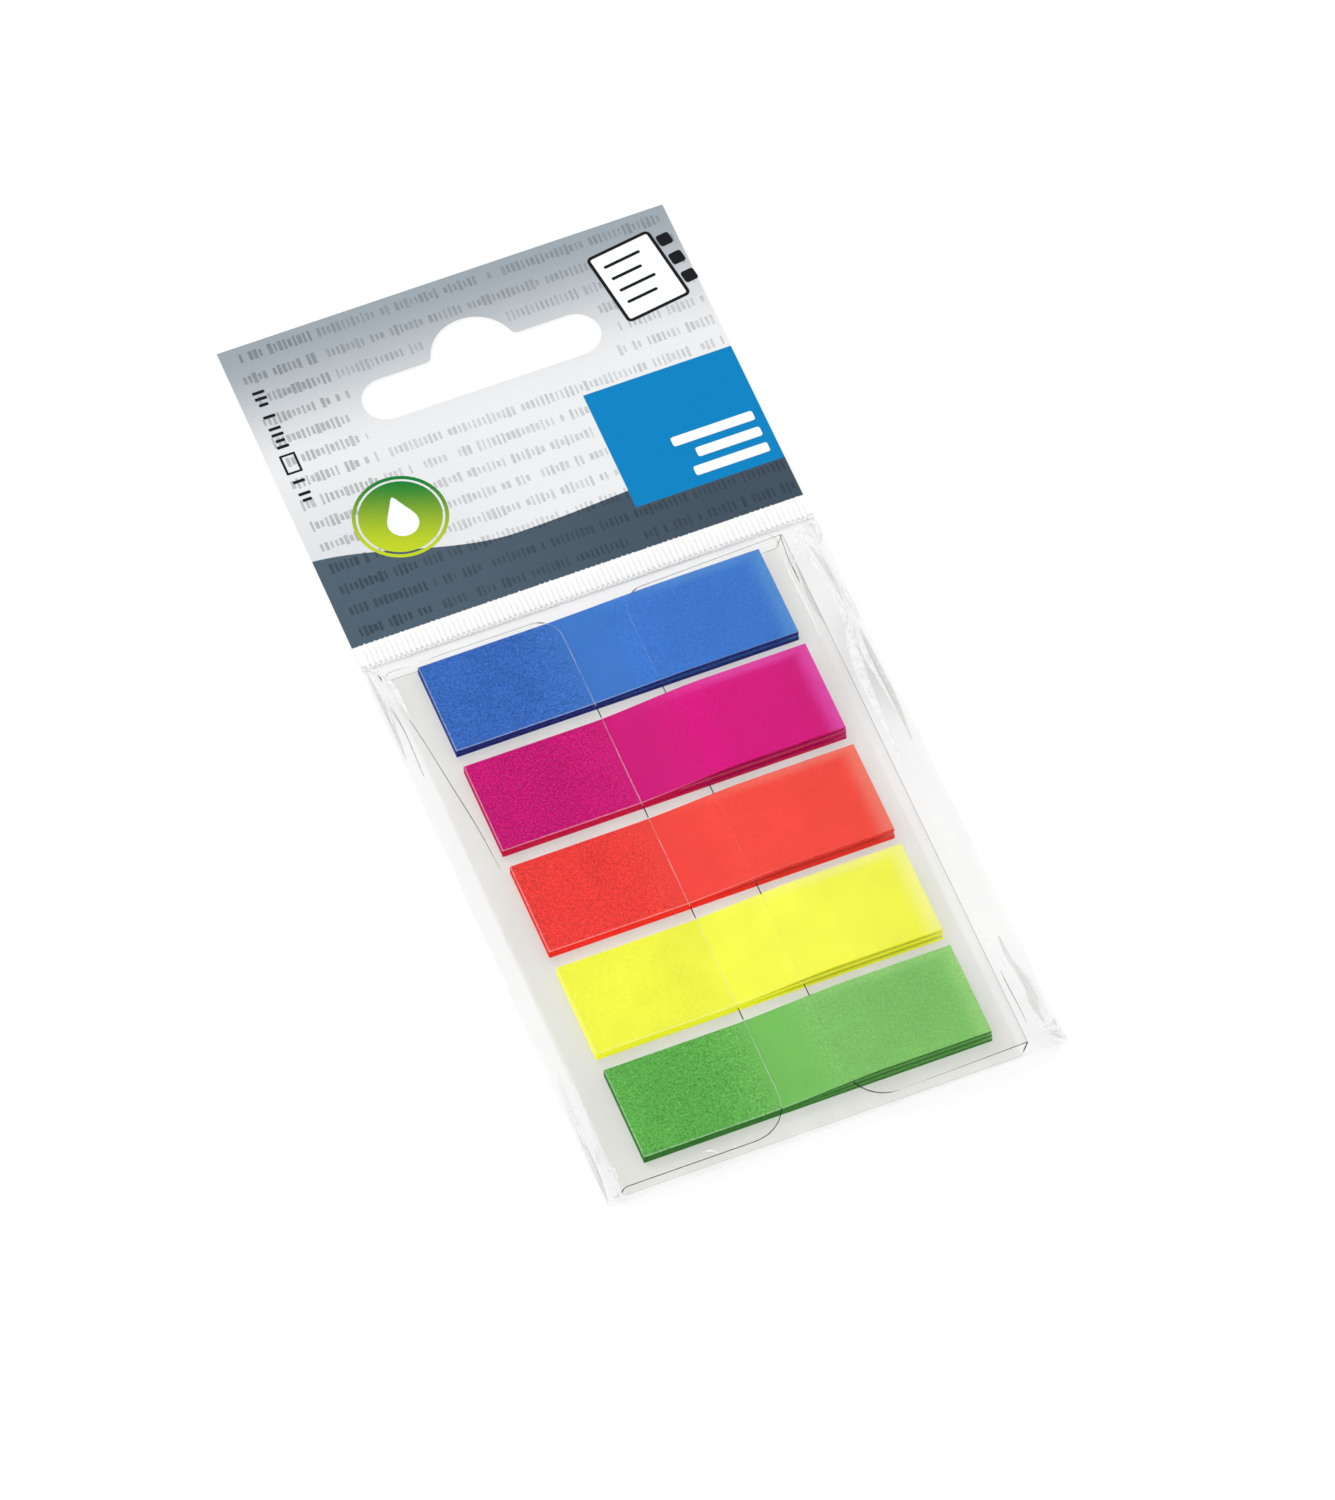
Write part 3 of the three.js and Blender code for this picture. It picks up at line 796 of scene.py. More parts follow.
def clear_finish(name, through, rough, wave_scale, wave_depth, under=None):
    f = Finish(name)
    if under:
        along = f.plus(f.y, f.times(f.x, 0.5))
        tint = f.mix(f.ramp(along, -68.0, 24.0, 0.0, 1.0, False), *under)
        through = f.mix(f.ramp(f.z, 0.32, 0.5), tint, (*through, 1))
    slanted = f.math("POWER", f.node("ShaderNodeLayerWeight", Blend=0.5).outputs["Facing"], 3.0)
    share = f.math("ADD", f.times(slanted, SLANTED_GLOSS), FILM_GLOSS, True)
    streak = f.noise(0.25, 3.0, stretch=(1.0, 0.18, 1.0))
    cloud = f.ramp(f.noise(0.16, 3.0, stretch=(1.0, 0.3, 1.0)), 0.35, 0.65)
    clear = f.first("ShaderNodeBsdfTransparent", Color=f.scaled(through, f.minus(1.0, f.times(cloud, 0.006))))
    shine = f.first("ShaderNodeBsdfAnisotropic", Color=(1, 1, 1, 1),
                    Normal=f.bump(f.noise(wave_scale, 3.0), 1.0, wave_depth),
                    Roughness=f.ramp(streak, 0.35, 0.65, rough * 0.7, rough * 1.4))
    return f.finish(f.blend(share, clear, shine))


BAG_FILM = clear_finish("bag_film", (0.994, 0.994, 0.994), 0.12, 0.12, 0.0006)
SHEET_FILM = clear_finish("dispenser_sheet", (0.992, 0.992, 0.99), 0.2, 0.2, 0.0002,
                          under=((0.944, 0.946, 0.928, 1), (0.971, 0.969, 0.965, 1)))


def cut_edge_finish():
    """The sheet's cut edge: a bright line over a flag, which is a painted highlight, and a dark one over the
    pale table.
    """
    f = Finish("dispenser_edge")
    first_low, first_high = box_mm("blue_pad")
    last_low, last_high = box_mm("green_pad")
    pitch = (first_high.y - last_high.y) / 4
    width = first_high.y - first_low.y
    rows = f.math("DIVIDE", f.minus(first_high.y, f.y), pitch)
    in_row = f.times(f.math("FRACT", rows), pitch)
    over = f.times(f.ramp(in_row, width + 0.5, width + 0.7, 1.0, 0.0), f.ramp(rows, -0.01, 0.01),
                   f.ramp(f.y, last_low.y - 0.1, last_low.y),
                   f.ramp(f.x, first_high.x, first_high.x + 0.1, 1.0, 0.0))
    at_top = f.ramp(f.y, first_high.y + 0.2, first_high.y + 0.3)
    dark = f.mix(at_top, (0.2, 0.21, 0.18, 1), (0.62, 0.62, 0.6, 1))
    # At the bottom the front of the fold is the dark line, and the back is hardly seen
    at_bottom = f.ramp(f.y, last_low.y - 3.0, last_low.y - 2.5, 1.0, 0.0)
    dark = f.mix(f.times(at_bottom, f.ramp(f.z, 0.9, 1.3, 1.0, 0.0)), dark, (0.8, 0.8, 0.78, 1))
    dark = f.mix(f.times(at_bottom, f.ramp(f.z, 0.9, 1.3)), dark, (0.06, 0.07, 0.05, 1))
    clear = f.first("ShaderNodeBsdfTransparent", Color=f.mix(over, dark, (0.97, 0.97, 0.97, 1)))
    painted_highlight = f.first("ShaderNodeBsdfDiffuse", Color=(0.92, 0.94, 0.96, 1))
    # The milky share is a painted highlight along the edge over the flags, uneven along its length
    uneven_highlight = f.ramp(f.noise(0.4, 2.0), 0.3, 0.7, 0.04, 0.2)
    share = f.times(uneven_highlight, over, f.ramp(f.x, -3.0, -1.0, 1.0, 0.2))
    return f.finish(f.blend(f.plus(share, 0.02), clear, painted_highlight))


CUT_EDGE = cut_edge_finish()

# %% [markdown]
# ## The dispenser
# One stiff clear sheet is folded round the pads from both sides. Its section is a line: flat over
# the pads, round the small left fold, along the back, up the leaning right wall between two sharp
# creases, and down a gentle slope to the right flap's free edge. The section runs the length of
# the pads, and the four corners of the flaps are round, so each row of points reaches as far as
# the corner lets it.

# %% Dispenser
LEFT_FLAP_REACH = 21.3
SLOT_OPENING = 8.1
TOP_CORNER = 3.0
BOTTOM_CORNER = 4.8
LEFT_FOLD = 2.0
FOLD_POINTS = 14
FOLD_LEAN = 0.75
CREASE_SIZE = 0.28
CREASE_POINTS = 6
FLAP_STEPS = 12
BACK_STEPS = 16
EDGE_LINE = 0.1
sheet_top, sheet_bottom = sheet_high.y, sheet_low.y
left_flap_edge = sheet_low.x + LEFT_FLAP_REACH
right_flap_edge = left_flap_edge + SLOT_OPENING
back_level = sheet_low.z + SHEET / 2
left_radius = (LEFT_FOLD - SHEET) / 2


def arc(centre, radius, start, stop, count):
    steps = [start + (stop - start) * k / (count - 1) for k in range(count)]
    return [(centre[0] + radius * math.cos(a), centre[1] + radius * math.sin(a)) for a in steps]


def corner_pull(y, radius_top, radius_bottom):
    """How far a flap's free edge draws back at this height because of its round corners."""
    pull = 0.0
    for distance, radius in ((sheet_top - y, radius_top), (y - sheet_bottom, radius_bottom)):
        if distance < radius:
            inside = max(radius * radius - (radius - distance) ** 2, 0.0)
            pull = max(pull, radius - math.sqrt(inside))
    return pull


def crease_bend(before, corner, after, size, count):
    """A corner of the section, rounded over a short length on both sides."""
    back = (Vector(before) - Vector(corner)).normalized() * size
    ahead = (Vector(after) - Vector(corner)).normalized() * size
    points = []
    for k in range(count):
        t = k / (count - 1)
        point = Vector(corner) + back * (1 - t) ** 2 + ahead * t ** 2
        points.append((point.x, point.y))
    return points


def stretch(a, b, shares):
    """Points on the straight run from a to b."""
    return [(a[0] + (b[0] - a[0]) * share, a[1] + (b[1] - a[1]) * share) for share in shares]


def dispenser_section(y):
    """The middle line of the sheet, from the left flap's free edge to the right one's."""
    pull = corner_pull(y, TOP_CORNER, BOTTOM_CORNER)
    flap_level = back_level + 2 * left_radius
    left_centre = (sheet_low.x + SHEET / 2 + left_radius, back_level + left_radius)
    heel = (sheet_high.x - SHEET / 2 - FOLD_LEAN, back_level)
    fold = (sheet_high.x - SHEET / 2, sheet_high.z - SHEET / 2)
    free = (right_flap_edge + pull, flap_level + 0.1)
    start = left_flap_edge - pull
    line = [(start, flap_level)]
    line += stretch((start - EDGE_LINE, flap_level), (left_centre[0], flap_level),
                    [k / FLAP_STEPS for k in range(FLAP_STEPS)])
    line += arc(left_centre, left_radius, math.pi / 2, 3 * math.pi / 2, FOLD_POINTS)
    up = crease_bend((left_centre[0], back_level), heel, fold, CREASE_SIZE, CREASE_POINTS)
    line += stretch((left_centre[0], back_level), up[0], [k / BACK_STEPS for k in range(1, BACK_STEPS)])
    line += up
    line += crease_bend(heel, fold, free, CREASE_SIZE, CREASE_POINTS)
    length = math.dist(line[-1], free)
    shares = [k / FLAP_STEPS for k in range(1, FLAP_STEPS)]
    return line + stretch(line[-1], free, shares + [1 - EDGE_LINE / length, 1.0])


def dispenser_rows():
    """Heights of the rows: close together round the corners."""
    low, high = sheet_bottom + BOTTOM_CORNER, sheet_top - TOP_CORNER
    rows = [sheet_bottom + BOTTOM_CORNER * (1 - math.cos(math.pi / 2 * k / 8)) for k in range(9)]
    rows += [low + (high - low) * k / 14 for k in range(1, 14)]
    return rows + [sheet_top - TOP_CORNER * (1 - math.cos(math.pi / 2 * k / 6)) for k in range(6, -1, -1)]


def make_dispenser():
    rows = dispenser_rows()
    sections = [dispenser_section(y) for y in rows]
    points_across = len(sections[0])
    # Both free edges and the sharp fold at the right are drawn as lines
    fold_at = 1 + FLAP_STEPS + FOLD_POINTS + BACK_STEPS - 1 + CREASE_POINTS + CREASE_POINTS // 2
    lined = {0, fold_at - 1, points_across - 2}

    def place(i, j):
        x, z = sections[j][i]
        a, b = sections[j][max(i - 1, 0)], sections[j][min(i + 1, points_across - 1)]
        half = SHEET / 2 / math.dist(a, b)
        return (x + (b[1] - a[1]) * half, rows[j], z - (b[0] - a[0]) * half)

    piece = film_sheet("dispenser_sheet", points_across, len(rows), place,
                       [SHEET_FILM, CUT_EDGE], SHEET, lined)
    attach(piece, "root")
    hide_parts("flag_dispenser")
    return piece


dispenser = make_dispenser()
print("dispenser", [round(c / MM, 2) for c in dispenser.dimensions])

# %% [markdown]
# ## The bag
# The bag is one length of thin film. Its back lies flat. Its front wraps steeply over the left
# side and the bottom, and slopes more gently at the right, where the bag has room to spare. It
# levels out over the dispenser and runs down to the weld. Creases radiate from the corners, where
# the film has too much width to lie flat, so each is a ridge from one point to another.

# %% Height of the front film
FILM_GAUGE = 0.05
CLEARANCE = 0.2
LEFT_SLACK, LEFT_WRAP = 0.9, 1.5
RIGHT_SLACK, RIGHT_WRAP = 3.9, 1.3
BOTTOM_SLACK, BOTTOM_WRAP = 0.75, 0.15
TOP_SLACK, TOP_WRAP = 2.35, 0.25
TONGUE_TOP = 0.3
full_left = FILM + LEFT_FOLD + CLEARANCE
full_right = sheet_high.z + CLEARANCE

# Each crease: side, end, from, to, rise, reach. Points are measured in from the side's edge, and
# down from the weld's top or up from the bottom fold.
CREASES = [
    ("left", "top", (1.5, 5.3), (2.9, 11.5), 0.5, 0.7),
    ("left", "top", (1.5, 5.3), (3.6, 20.0), 0.3, 0.6),
    ("left", "top", (3.6, 20.0), (5.4, 42.0), 0.16, 0.6),
    ("left", "top", (1.0, 4.9), (7.5, 5.3), 0.3, 0.6),
    ("left", "top", (0.9, 6.5), (1.6, 15.0), 0.3, 0.5),
    ("right", "top", (3.4, 5.6), (1.9, 16.5), 0.55, 0.7),
    ("right", "top", (1.6, 4.8), (3.6, 7.6), 0.5, 0.6),
    ("right", "top", (3.6, 7.6), (4.6, 12.0), 0.35, 0.7),
    ("right", "top", (1.4, 7.5), (2.6, 9.5), 0.4, 0.5),
    ("right", "top", (5.0, 22.0), (4.6, 27.0), 0.18, 0.5),
    ("right", "top", (5.2, 26.0), (3.0, 54.0), 0.24, 0.8),
    ("right", "bottom", (4.6, 15.5), (2.4, 2.6), 0.5, 0.6),
    ("right", "bottom", (3.0, 10.5), (1.2, 1.4), 0.4, 0.5),
    ("left", "bottom", (1.5, 12.5), (2.5, 1.2), 0.3, 0.5),
    ("left", "bottom", (0.8, 6.0), (3.0, 2.0), 0.25, 0.5),
]


def bag_spot(side, end, across, along):
    """A place on the bag, measured in from one side and along from one end."""
    x = bag_low.x + across if side == "left" else bag_high.x - across
    y = weld_top - along if end == "top" else bag_low.y + along
    return Vector((x, y))


crease_lines = [(bag_spot(side, end, *start), bag_spot(side, end, *stop), height, reach)
                for side, end, start, stop, height, reach in CREASES]


def smooth(value, low, high):
    t = min(max((value - low) / (high - low), 0.0), 1.0)
    return t * t * (3 - 2 * t)


def rise(distance, run):
    left = 1 - min(max(distance / run, 0.0), 1.0)
    return 1 - left ** 3


def crease_at(x, y):
    total = 0.0
    for start, stop, height, reach in crease_lines:
        along = stop - start
        offset = Vector((x, y)) - start
        share = min(max(offset.dot(along) / along.length_squared, 0.0), 1.0)
        away = (offset - along * share).length
        if away < reach:
            fade = 0.25 + 0.75 * math.sin(math.pi * min(share + 0.25, 1.0))
            total = max(total, height * fade * (1 - away / reach) ** 1.3)
    return total


def film_height(x, y):
    """Height of the lower face of the bag's front film."""
    over = min(max((x - right_flap_edge) / (sheet_high.x - 0.4 - right_flap_edge), 0.0), 1.0)
    full = full_left + over * (full_right - full_left)
    to_mouth = smooth(y, weld_bottom - TOP_SLACK, weld_bottom)
    base = (FILM + 0.02) * (1 - to_mouth) + TONGUE_TOP * to_mouth
    share = (rise(x - bag_low.x - SIDE_WELD, LEFT_SLACK + LEFT_WRAP)
             * rise(bag_high.x - SIDE_WELD - x, RIGHT_SLACK + RIGHT_WRAP)
             * rise(y - bag_low.y - FILM, BOTTOM_SLACK + BOTTOM_WRAP)
             * rise(weld_bottom - y, TOP_SLACK + TOP_WRAP))
    loose = 1 - 0.75 * smooth(x, bag_low.x + 6, bag_low.x + 12) * smooth(bag_high.x - x, 5, 9)
    ripple = 0.5 + 0.5 * noise.noise(Vector((x * 0.35, y * 0.12, 4.0)))
    small = 0.5 + 0.5 * noise.noise(Vector((x * 1.1, y * 0.5, 9.0)))
    return base + (full + crease_at(x, y) + loose * (0.14 * ripple + 0.07 * small) - base) * share


# %% The bag's films
def spread(low, high, ends, step):
    """Stations from low to high: the given distances at both ends, then a regular step."""
    inner = ends[-1]
    count = math.ceil((high - low - 2 * inner) / step)
    middle = [low + inner + (high - low - 2 * inner) * k / count for k in range(1, count)]
    return [low + d for d in ends] + middle + [high - d for d in reversed(ends)]


def edge_wobble(x, y):
    """Film edges are never quite straight: the sides wander, and the bottom rises to the right."""
    side = x - bag_low.x, bag_high.x - x
    near = max(1 - min(side) / 1.6, 0.0)
    lane = 3.0 if side[0] < side[1] else 7.0
    wander = (0.24 * noise.noise(Vector((lane, y * 0.22, 0.5)))
              + 0.12 * noise.noise(Vector((lane, y * 0.8, 2.5))))
    below = max(1 - (y - bag_low.y) / 2.5, 0.0) ** 2
    ends = smooth(y, bag_low.y, bag_low.y + 2) * smooth(weld_bottom - y, 0.0, 2.0)
    return Vector((x + wander * near * ends, y + 0.55 * below * smooth(x, -15.0, 28.0)))


def make_front_film():
    fine = [0.0, 0.5, 1.0, 1.1, 1.25, 1.45, 1.7, 2.0, 2.3]
    xs = spread(bag_low.x, bag_high.x, fine, 0.42)
    ys = spread(bag_low.y, weld_bottom, [0.0, 0.1, 0.16, 0.24, 0.34, 0.46, 0.6, 0.8, 1.1], 0.42)
    ys += [weld_bottom + WELD_LENGTH * k / 3 for k in range(1, 4)]
    heights = [[film_height(x, y) for y in ys] for x in xs]
    return film_sheet("bag_front_film", len(xs), len(ys),
                      lambda i, j: (*edge_wobble(xs[i], ys[j]), heights[i][j]), [BAG_FILM], FILM_GAUGE)


def make_back_film():
    xs = spread(bag_low.x, bag_high.x, [0.0, 0.5, 1.0, 1.6], 6.0)
    ys = spread(bag_low.y, weld_top, [0.0, 0.1, 0.5, 1.0], 0.8)
    return film_sheet("bag_back_film", len(xs), len(ys),
                      lambda i, j: (*edge_wobble(xs[i], ys[j]), 0.02), [BAG_FILM], FILM_GAUGE)


def in_bag(piece):
    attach(piece, "root")
    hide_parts("film_bag")
    return piece


front_film = in_bag(make_front_film())
in_bag(make_back_film())
print("front film", len(front_film.data.polygons), "faces")

# %% [markdown]
# Where the film is crushed, mostly at its corners and along the loose right side, its creases get
# painted light: painted highlights as white flecks where they would catch the lamp, and painted
# shade as grey slivers and hair-thin dark lines between them. Each is a lens of film that lies on
# the crease: a smooth line through a few points, with its own width at each.

# %% Flecks on the creases
# Each point: in from the side's edge, along from the weld's top or the bottom fold, and width.
WHITE_FLECKS = {
    ("right", "top"): [
        ((2.5, 15, 0.2), (2.3, 19, 1.3), (2, 23, 1.7), (1.6, 27.5, 1.2), (1.4, 32.5, 0.3)),
        ((2.6, 5.5, 0.1), (4, 7.5, 0.5), (5.3, 9, 0.15)),
        ((2.5, 6, 0.1), (2.8, 7.5, 0.6), (4.6, 9.5, 0.3), (5.7, 10.5, 0.1)),
        ((1.2, 4, 0.1), (0.3, 4, 0.7), (0.3, 5.5, 0.7), (0.8, 7, 0.1)),
        ((3, 8.5, 0.2), (3.2, 10, 0.5), (2.6, 13, 0.3), (2, 16.5, 0.5), (1.4, 18, 0.1)),
        ((1, 7.5, 0.1), (0.8, 11.5, 0.2), (0.5, 15.5, 0.5), (0.4, 18.5, 0.1)),
        ((1.3, 17.5, 0.2), (2.8, 22, 1.6), (3.7, 27, 1.7), (4, 33.5, 0.9), (4, 41.5, 0.2)),
        ((6, 9, 0.05), (6.3, 11.5, 0.25), (6.2, 16.5, 0.2), (6.4, 21.5, 0.05)),
        ((6.4, 6, 0.1), (6.2, 6.5, 0.25), (6.1, 7, 0.05)),
    ],
    ("left", "top"): [
        ((0, 2.5, 0.05), (0.9, 3.5, 0.25), (1.7, 5.5, 0.4), (1.9, 6.5, 0.1)),
        ((1.6, 5.5, 0.1), (2, 7.5, 0.6), (2.2, 9.5, 0.6), (2.4, 12.5, 0.1)),
        ((1.3, 8, 0.05), (1.2, 10, 0.25), (1.3, 12.5, 0.05)),
        ((1, 7.5, 0.05), (0.7, 11, 0.3), (0.7, 12.5, 0.05)),
        ((3.7, 6, 0.05), (5.2, 6, 0.2), (7.7, 6, 0.05)),
    ],
    ("right", "bottom"): [
        ((2.2, 12, 0.05), (0.8, 10, 0.2), (0.8, 7.5, 0.25), (0.8, 5.5, 0.2), (0.6, 4, 0.05)),
        ((3.3, 14.5, 0.05), (3.5, 11, 0.2), (2.7, 7, 0.25), (2.8, 4.5, 0.3), (2.6, 2.5, 0.1)),
        ((3, 2, 0.1), (1.8, 3, 0.5), (0.1, 4, 0.1)),
        ((3, 1.5, 0.1), (1.4, 2.5, 0.6), (0.1, 2.5, 0.1)),
        ((2.4, 1.3, 0.1), (1.7, 0.7, 0.5), (0.9, 1, 0.1)),
        ((0.7, 2.5, 0.1), (0.4, 1.7, 0.4), (0.1, 1, 0.1)),
        ((4.6, 16.5, 0.05), (4.4, 15, 0.35), (4.2, 14.5, 0.05)),
    ],
    ("left", "bottom"): [
        ((2, 17.5, 0.05), (1.8, 11.5, 0.15), (1.5, 5.5, 0.1), (1.7, 2, 0.05)),
        ((1, 18.5, 0.05), (0.6, 12, 0.3), (0.4, 6, 0.3), (0.3, 1.5, 0.05)),
        ((1.4, 8, 0.05), (1.3, 6.5, 0.4), (0.7, 6, 0.05)),
        ((1, 4, 0.05), (2, 3.5, 0.3), (2, 2, 0.05)),
        ((1.3, 2.5, 0.05), (1.5, 0.5, 0.25), (1, 1, 0.05)),
        ((12.4, 1.5, 0.05), (13.2, 1.3, 0.35), (13.8, 0.7, 0.05)),
    ],
}
GREY_FLECKS = {
    ("right", "top"): [
        ((2.4, 6, 0.1), (1.7, 6, 0.35), (1.2, 6.5, 0.1)),
        ((2.5, 8, 0.2), (1.9, 9.5, 1.2), (1.5, 12, 1), (1.4, 16, 0.1)),
        ((0.8, 19.5, 0.1), (1, 24, 1), (0.9, 30, 1), (1.1, 36.5, 0.2)),
        ((6.5, 5.5, 0.1), (6, 6.5, 0.5), (6.1, 7.5, 0.1)),
        ((5.1, 10.5, 0.2), (5.4, 16, 0.7), (5.1, 20, 0.1)),
    ],
    ("left", "top"): [
        ((0.4, 3.5, 0.1), (0.5, 7, 0.6), (0.6, 11, 0.7), (0.4, 16.5, 0.2)),
    ],
    ("right", "bottom"): [
        ((2.5, 15.5, 0.3), (2.5, 12.5, 1), (1.9, 10, 1.5), (1.8, 7.5, 1.6), (2.1, 5.5, 1.5), (1.9, 3, 0.5)),
        ((1.9, 1.5, 0.1), (0.9, 1.8, 0.4), (0.7, 1.2, 0.1)),
        ((0.5, 4, 0.05), (0.5, 3.2, 0.35), (0.4, 2.7, 0.05)),
    ],
    ("left", "bottom"): [
        ((0.4, 10.5, 0.1), (0.5, 6.5, 0.6), (0.3, 2.3, 0.5), (0.2, 0.7, 0.1)),
    ],
}
DARK_LINES = {
    ("right", "top"): [
        ((5.4, 6, 0.12), (5.7, 9.5, 0.1), (5.7, 11.5, 0.14), (5.7, 13, 0.08)),
    ],
    ("left", "top"): [
        ((1.3, 5, 0.05), (1.4, 5.7, 0.14), (1.4, 6.2, 0.05)),
        ((2.3, 13, 0.07), (2.9, 18, 0.1), (3.5, 23.5, 0.13), (4.2, 30, 0.12), (4.6, 36, 0.05)),
        ((1.2, 10, 0.05), (1.4, 14, 0.09), (1.3, 20, 0.05)),
    ],
    ("right", "bottom"): [
        ((4.3, 10.5, 0.05), (4.3, 8.5, 0.12), (4.2, 5.5, 0.1), (4.2, 3, 0.05)),
    ],
}


def smooth_line(points, step=0.3):
    """Places and widths along a smooth curve through the points."""
    padded = [points[0] * 2 - points[1]] + points + [points[-1] * 2 - points[-2]]
    line = []
    for a, b, c, d in zip(padded, padded[1:], padded[2:], padded[3:]):
        count = max(int((c - b).length / step), 2)
        for k in range(count):
            t = k / count
            line.append(b + (c - a) * (t / 2) + (a * 2 - b * 5 + c * 4 - d) * (t * t / 2)
                        + (b * 3 - a - c * 3 + d) * (t ** 3 / 2))
    return line + [points[-1]]


def flecks(name, table, finish):
    points, faces, fades = [], [], []
    lines = [[Vector((*bag_spot(*corner, across, along), width)) for across, along, width in line]
             for corner, given in table.items() for line in given]
    for given in lines:
        line = smooth_line(given)
        first = len(points)
        for k, spot in enumerate(line):
            ahead = (line[min(k + 1, len(line) - 1)] - line[max(k - 1, 0)]).xy.normalized()
            across = Vector((ahead.y, -ahead.x)) * max(spot.z, 0.03) / 2
            for side, lift, fade in ((-1, 0.02, 0.0), (0, 0.012, 1.0), (1, 0.02, 0.0), (0, 0.028, 1.0)):
                x = min(max(spot.x + across.x * side, bag_low.x), bag_high.x)
                y = min(max(spot.y + across.y * side, bag_low.y), weld_top)
                level = film_height(x, min(y, weld_bottom)) + FILM_GAUGE + lift
                points.append((x, y, level))
                fades.append(fade)
        for k in range(len(line) - 1):
            for n in range(4):
                a = first + 4 * k + n
                b = first + 4 * k + (n + 1) % 4
                faces.append((a, b, b + 4, a + 4))
        faces.append(tuple(first + n for n in (3, 2, 1, 0)))
        faces.append(tuple(first + 4 * (len(line) - 1) + n for n in range(4)))
    piece = mesh_object(name, points, faces, [finish])
    outward(piece)
    fade = piece.data.attributes.new("fade", "FLOAT", "POINT")
    fade.data.foreach_set("value", fades)
    print(name, len(lines))
    return in_bag(piece)


def fleck_finish(name, tint, painted_highlight):
    f = Finish(name)
    attribute = f.node("ShaderNodeAttribute")
    attribute.attribute_name = "fade"
    broken = f.ramp(f.noise(1.2, 2.0), 0.32, 0.6, 0.7, 1.0)
    share = f.times(f.ramp(attribute.outputs["Fac"], 0.0, 0.4), broken)
    clear = f.first("ShaderNodeBsdfTransparent", Color=f.mix(share, (1, 1, 1, 1), tint))
    # The white gloss is a painted highlight: its normal is set straight up, so it reflects the white studio
    # whatever the crease's slope
    upward = f.first("ShaderNodeCombineXYZ", Z=1.0)
    white = f.first("ShaderNodeBsdfAnisotropic", Color=(1, 1, 1, 1), Roughness=0.3, Normal=upward)
    return f.finish(f.blend(f.times(share, painted_highlight), clear, white))


# White flecks are painted highlights; grey flecks and dark lines are painted shade on the creases
flecks("white_flecks", WHITE_FLECKS, fleck_finish("white_flecks", (1, 1, 1, 1), 0.85))
flecks("grey_flecks", GREY_FLECKS, fleck_finish("grey_flecks", (0.9, 0.9, 0.89, 1), 0.0))
flecks("dark_lines", DARK_LINES, fleck_finish("dark_lines", (0.5, 0.5, 0.48, 1), 0.0))

# %% [markdown]
# ## The crimped weld
# Heated jaws press the bag's two films onto the header's tongue and leave a row of fine ribs that
# run along the pack. Geometry nodes set one rounded rib at each point of a line across the pack,
# with a small random stretch, so that the row's upper edge comes out lightly serrated.

# %% Weld finish and ribs
def weld_finish():
    f = Finish("weld_ribs")
    streak = f.noise(2.2, 2.0, stretch=(1.0, 0.25, 1.0))
    colour = f.mix(f.ramp(streak, 0.35, 0.65), srgb(251, 251, 250), srgb(254, 254, 253))
    return f.finish(f.coat(0.5, Base_Color=colour, Roughness=f.ramp(streak, 0.3, 0.7, 0.25, 0.45)))


def rib_tree():
    r = Recipe("weld_rib_row", ("Pitch", "Stretch"), ("Count",), ("Start", "Rib Size"))
    given = r.given
    line = r.first("GeometryNodeMeshLine", Count=given["Count"], Start_Location=given["Start"],
                   Offset=r.vector(given["Pitch"]))
    ball = r.first("GeometryNodeMeshUVSphere", Segments=8, Rings=6, Radius=1.0)
    rib = r.first("GeometryNodeTransform", Geometry=ball, Rotation=(math.pi / 2, 0, 0))
    size = r.scaled(given["Rib Size"], r.chance(1.0, given["Stretch"], given["Seed"]))
    return r.finish(r.copied(line, rib, size))


WELD_FINISH = weld_finish()
RIB_PITCH = 0.65
RIB_LEVEL = 0.37
RIB_HEIGHT = 0.05
BAND_LEVEL = 0.352
BAND_LOW, BAND_HIGH = weld_bottom + 0.55, weld_top - 0.12
rib_count = int((bag_high.x - bag_low.x - 0.7) / RIB_PITCH)
rib_start = -(rib_count - 1) / 2 * RIB_PITCH
ribs = grown(rib_tree(), "weld_ribs", {
    "Start": Vector((rib_start, weld_bottom + WELD_LENGTH / 2 + 0.05, RIB_LEVEL)) * MM,
    "Pitch": RIB_PITCH * MM, "Count": rib_count,
    "Rib Size": Vector((0.3, WELD_LENGTH / 2 - 0.02, RIB_HEIGHT)) * MM,
    "Stretch": 1.08, "Seed": 5, "Finish": WELD_FINISH})
for polygon in ribs.data.polygons:
    polygon.use_smooth = True
in_bag(ribs)
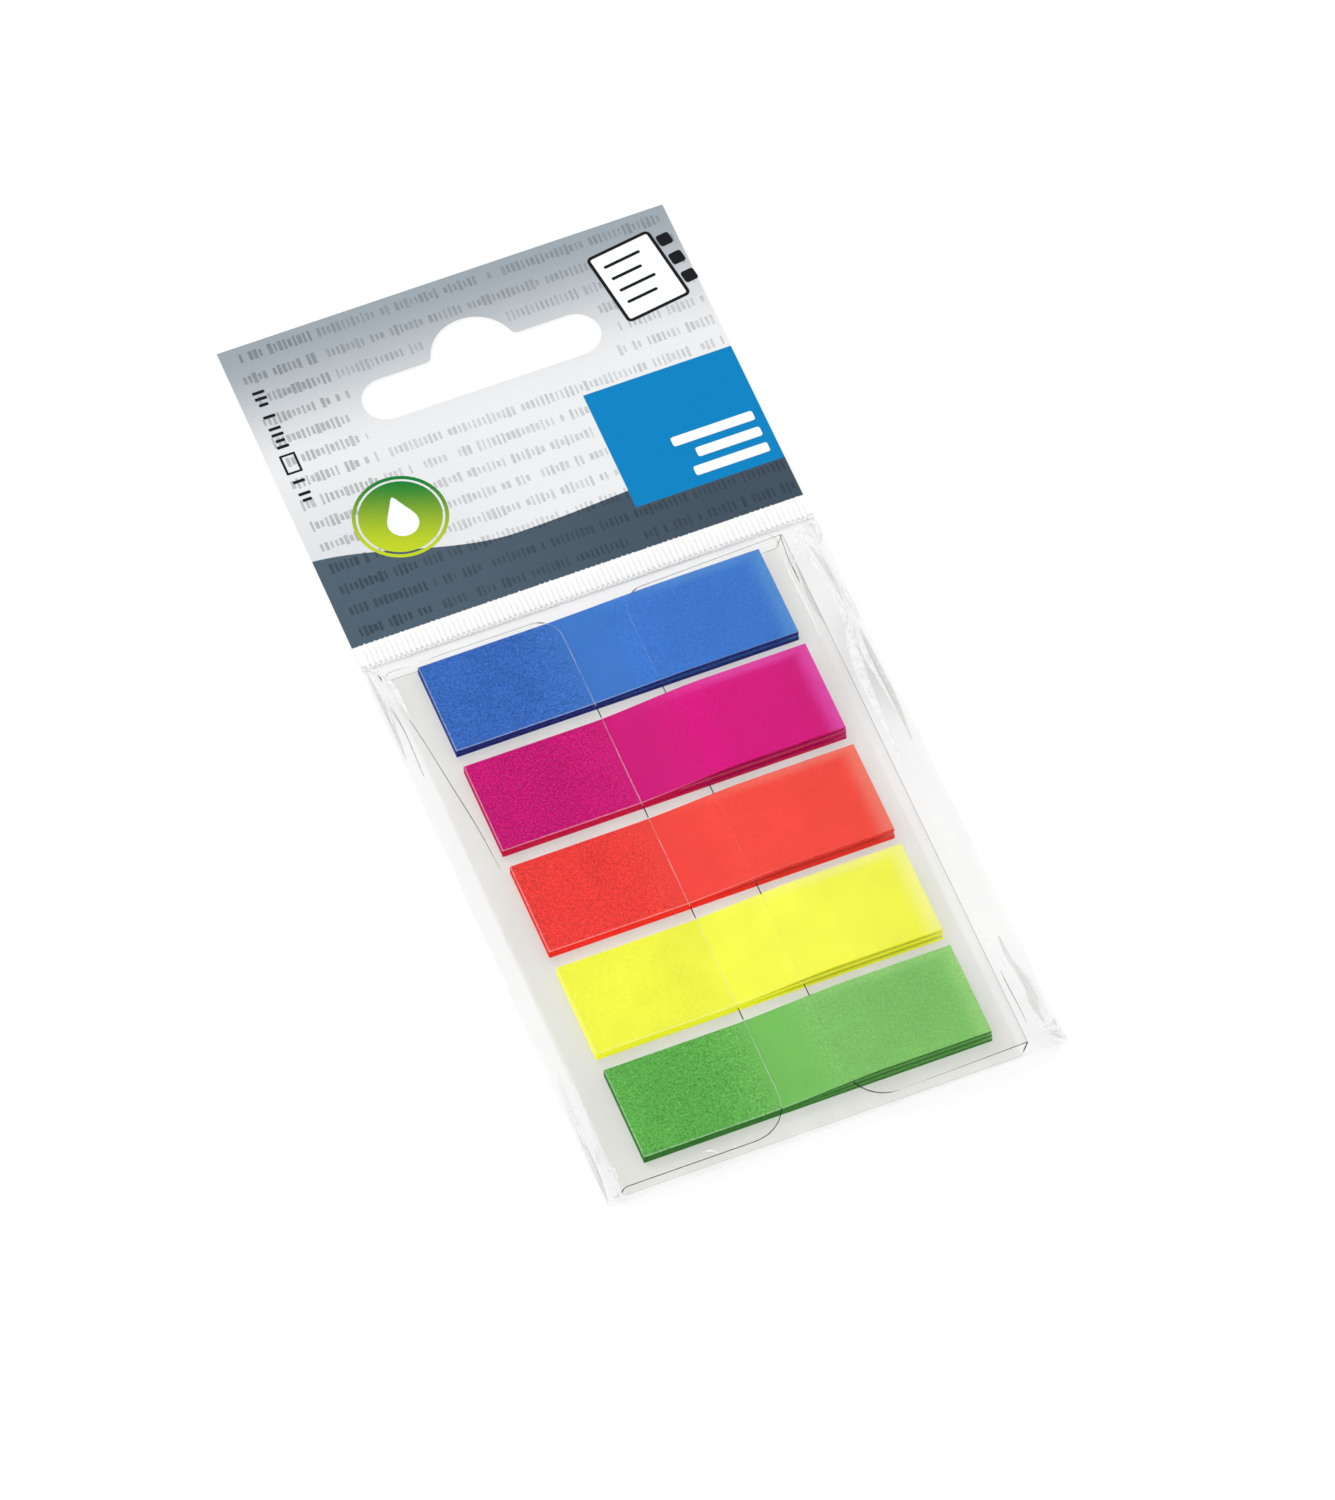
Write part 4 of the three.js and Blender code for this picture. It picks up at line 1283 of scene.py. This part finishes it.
in_bag(film_sheet("weld_band", 2, 2,
                  lambda i, j: ((bag_low.x, bag_high.x)[i], (BAND_LOW, BAND_HIGH)[j], BAND_LEVEL),
                  [WELD_FINISH], 0.02))
print("ribs", rib_count)

# %% [markdown]
# ## Floor and light
# The floor is a plain pale light table: it glows a little, and keeps the pack's soft shadow. The
# world lights evenly, and one large soft lamp behind the left shoulder gives the film its
# highlights.

# %% Floor and light
FLOOR_HALF = 3.0
FLOOR_DROP = 0.02
GLOW_SHARE = 0.5
WORLD_LEVEL = 0.87
KEY_PLACE = Vector((-0.55, 0.75, 1.25))


def floor_finish():
    f = Finish("floor")
    shade = f.mix(f.seen_rays(), (0.82, 0.82, 0.82, 1), (1, 1, 1, 1))
    table = f.first("ShaderNodeBsdfDiffuse", Color=shade)
    glow = f.first("ShaderNodeEmission", Color=(1, 1, 1, 1), Strength=1.0)
    return f.finish(f.blend(GLOW_SHARE, table, glow))


floor = mesh_object("floor", [(x * FLOOR_HALF / MM, y * FLOOR_HALF / MM, -FLOOR_DROP)
                              for x, y in ((-1, -1), (1, -1), (1, 1), (-1, 1))],
                    [(0, 1, 2, 3)], [floor_finish()], smooth=False)

world = bpy.data.worlds.new("studio")
scene.world = world
world.use_nodes = True
studio = Nodes(world.node_tree)
background = studio.tree.nodes["Background"]
level = studio.node("ShaderNodeMapRange", Value=studio.seen_rays(), To_Min=WORLD_LEVEL, To_Max=1.0)
studio.put(background.inputs["Strength"], level.outputs["Result"])
background.inputs["Color"].default_value = (1, 1, 1, 1)

key_data = bpy.data.lights.new("soft_key", "AREA")
key_data.shape = "RECTANGLE"
key_data.size = 0.9
key_data.size_y = 0.7
key_data.energy = 5.5
key = bpy.data.objects.new("soft_key", key_data)
scene.collection.objects.link(key)
key.matrix_world = (Matrix.Translation(KEY_PLACE)
                    @ KEY_PLACE.to_track_quat("Z", "Y").to_matrix().to_4x4())

scene.view_settings.view_transform = "Standard"
scene.cycles.transparent_max_bounces = 24
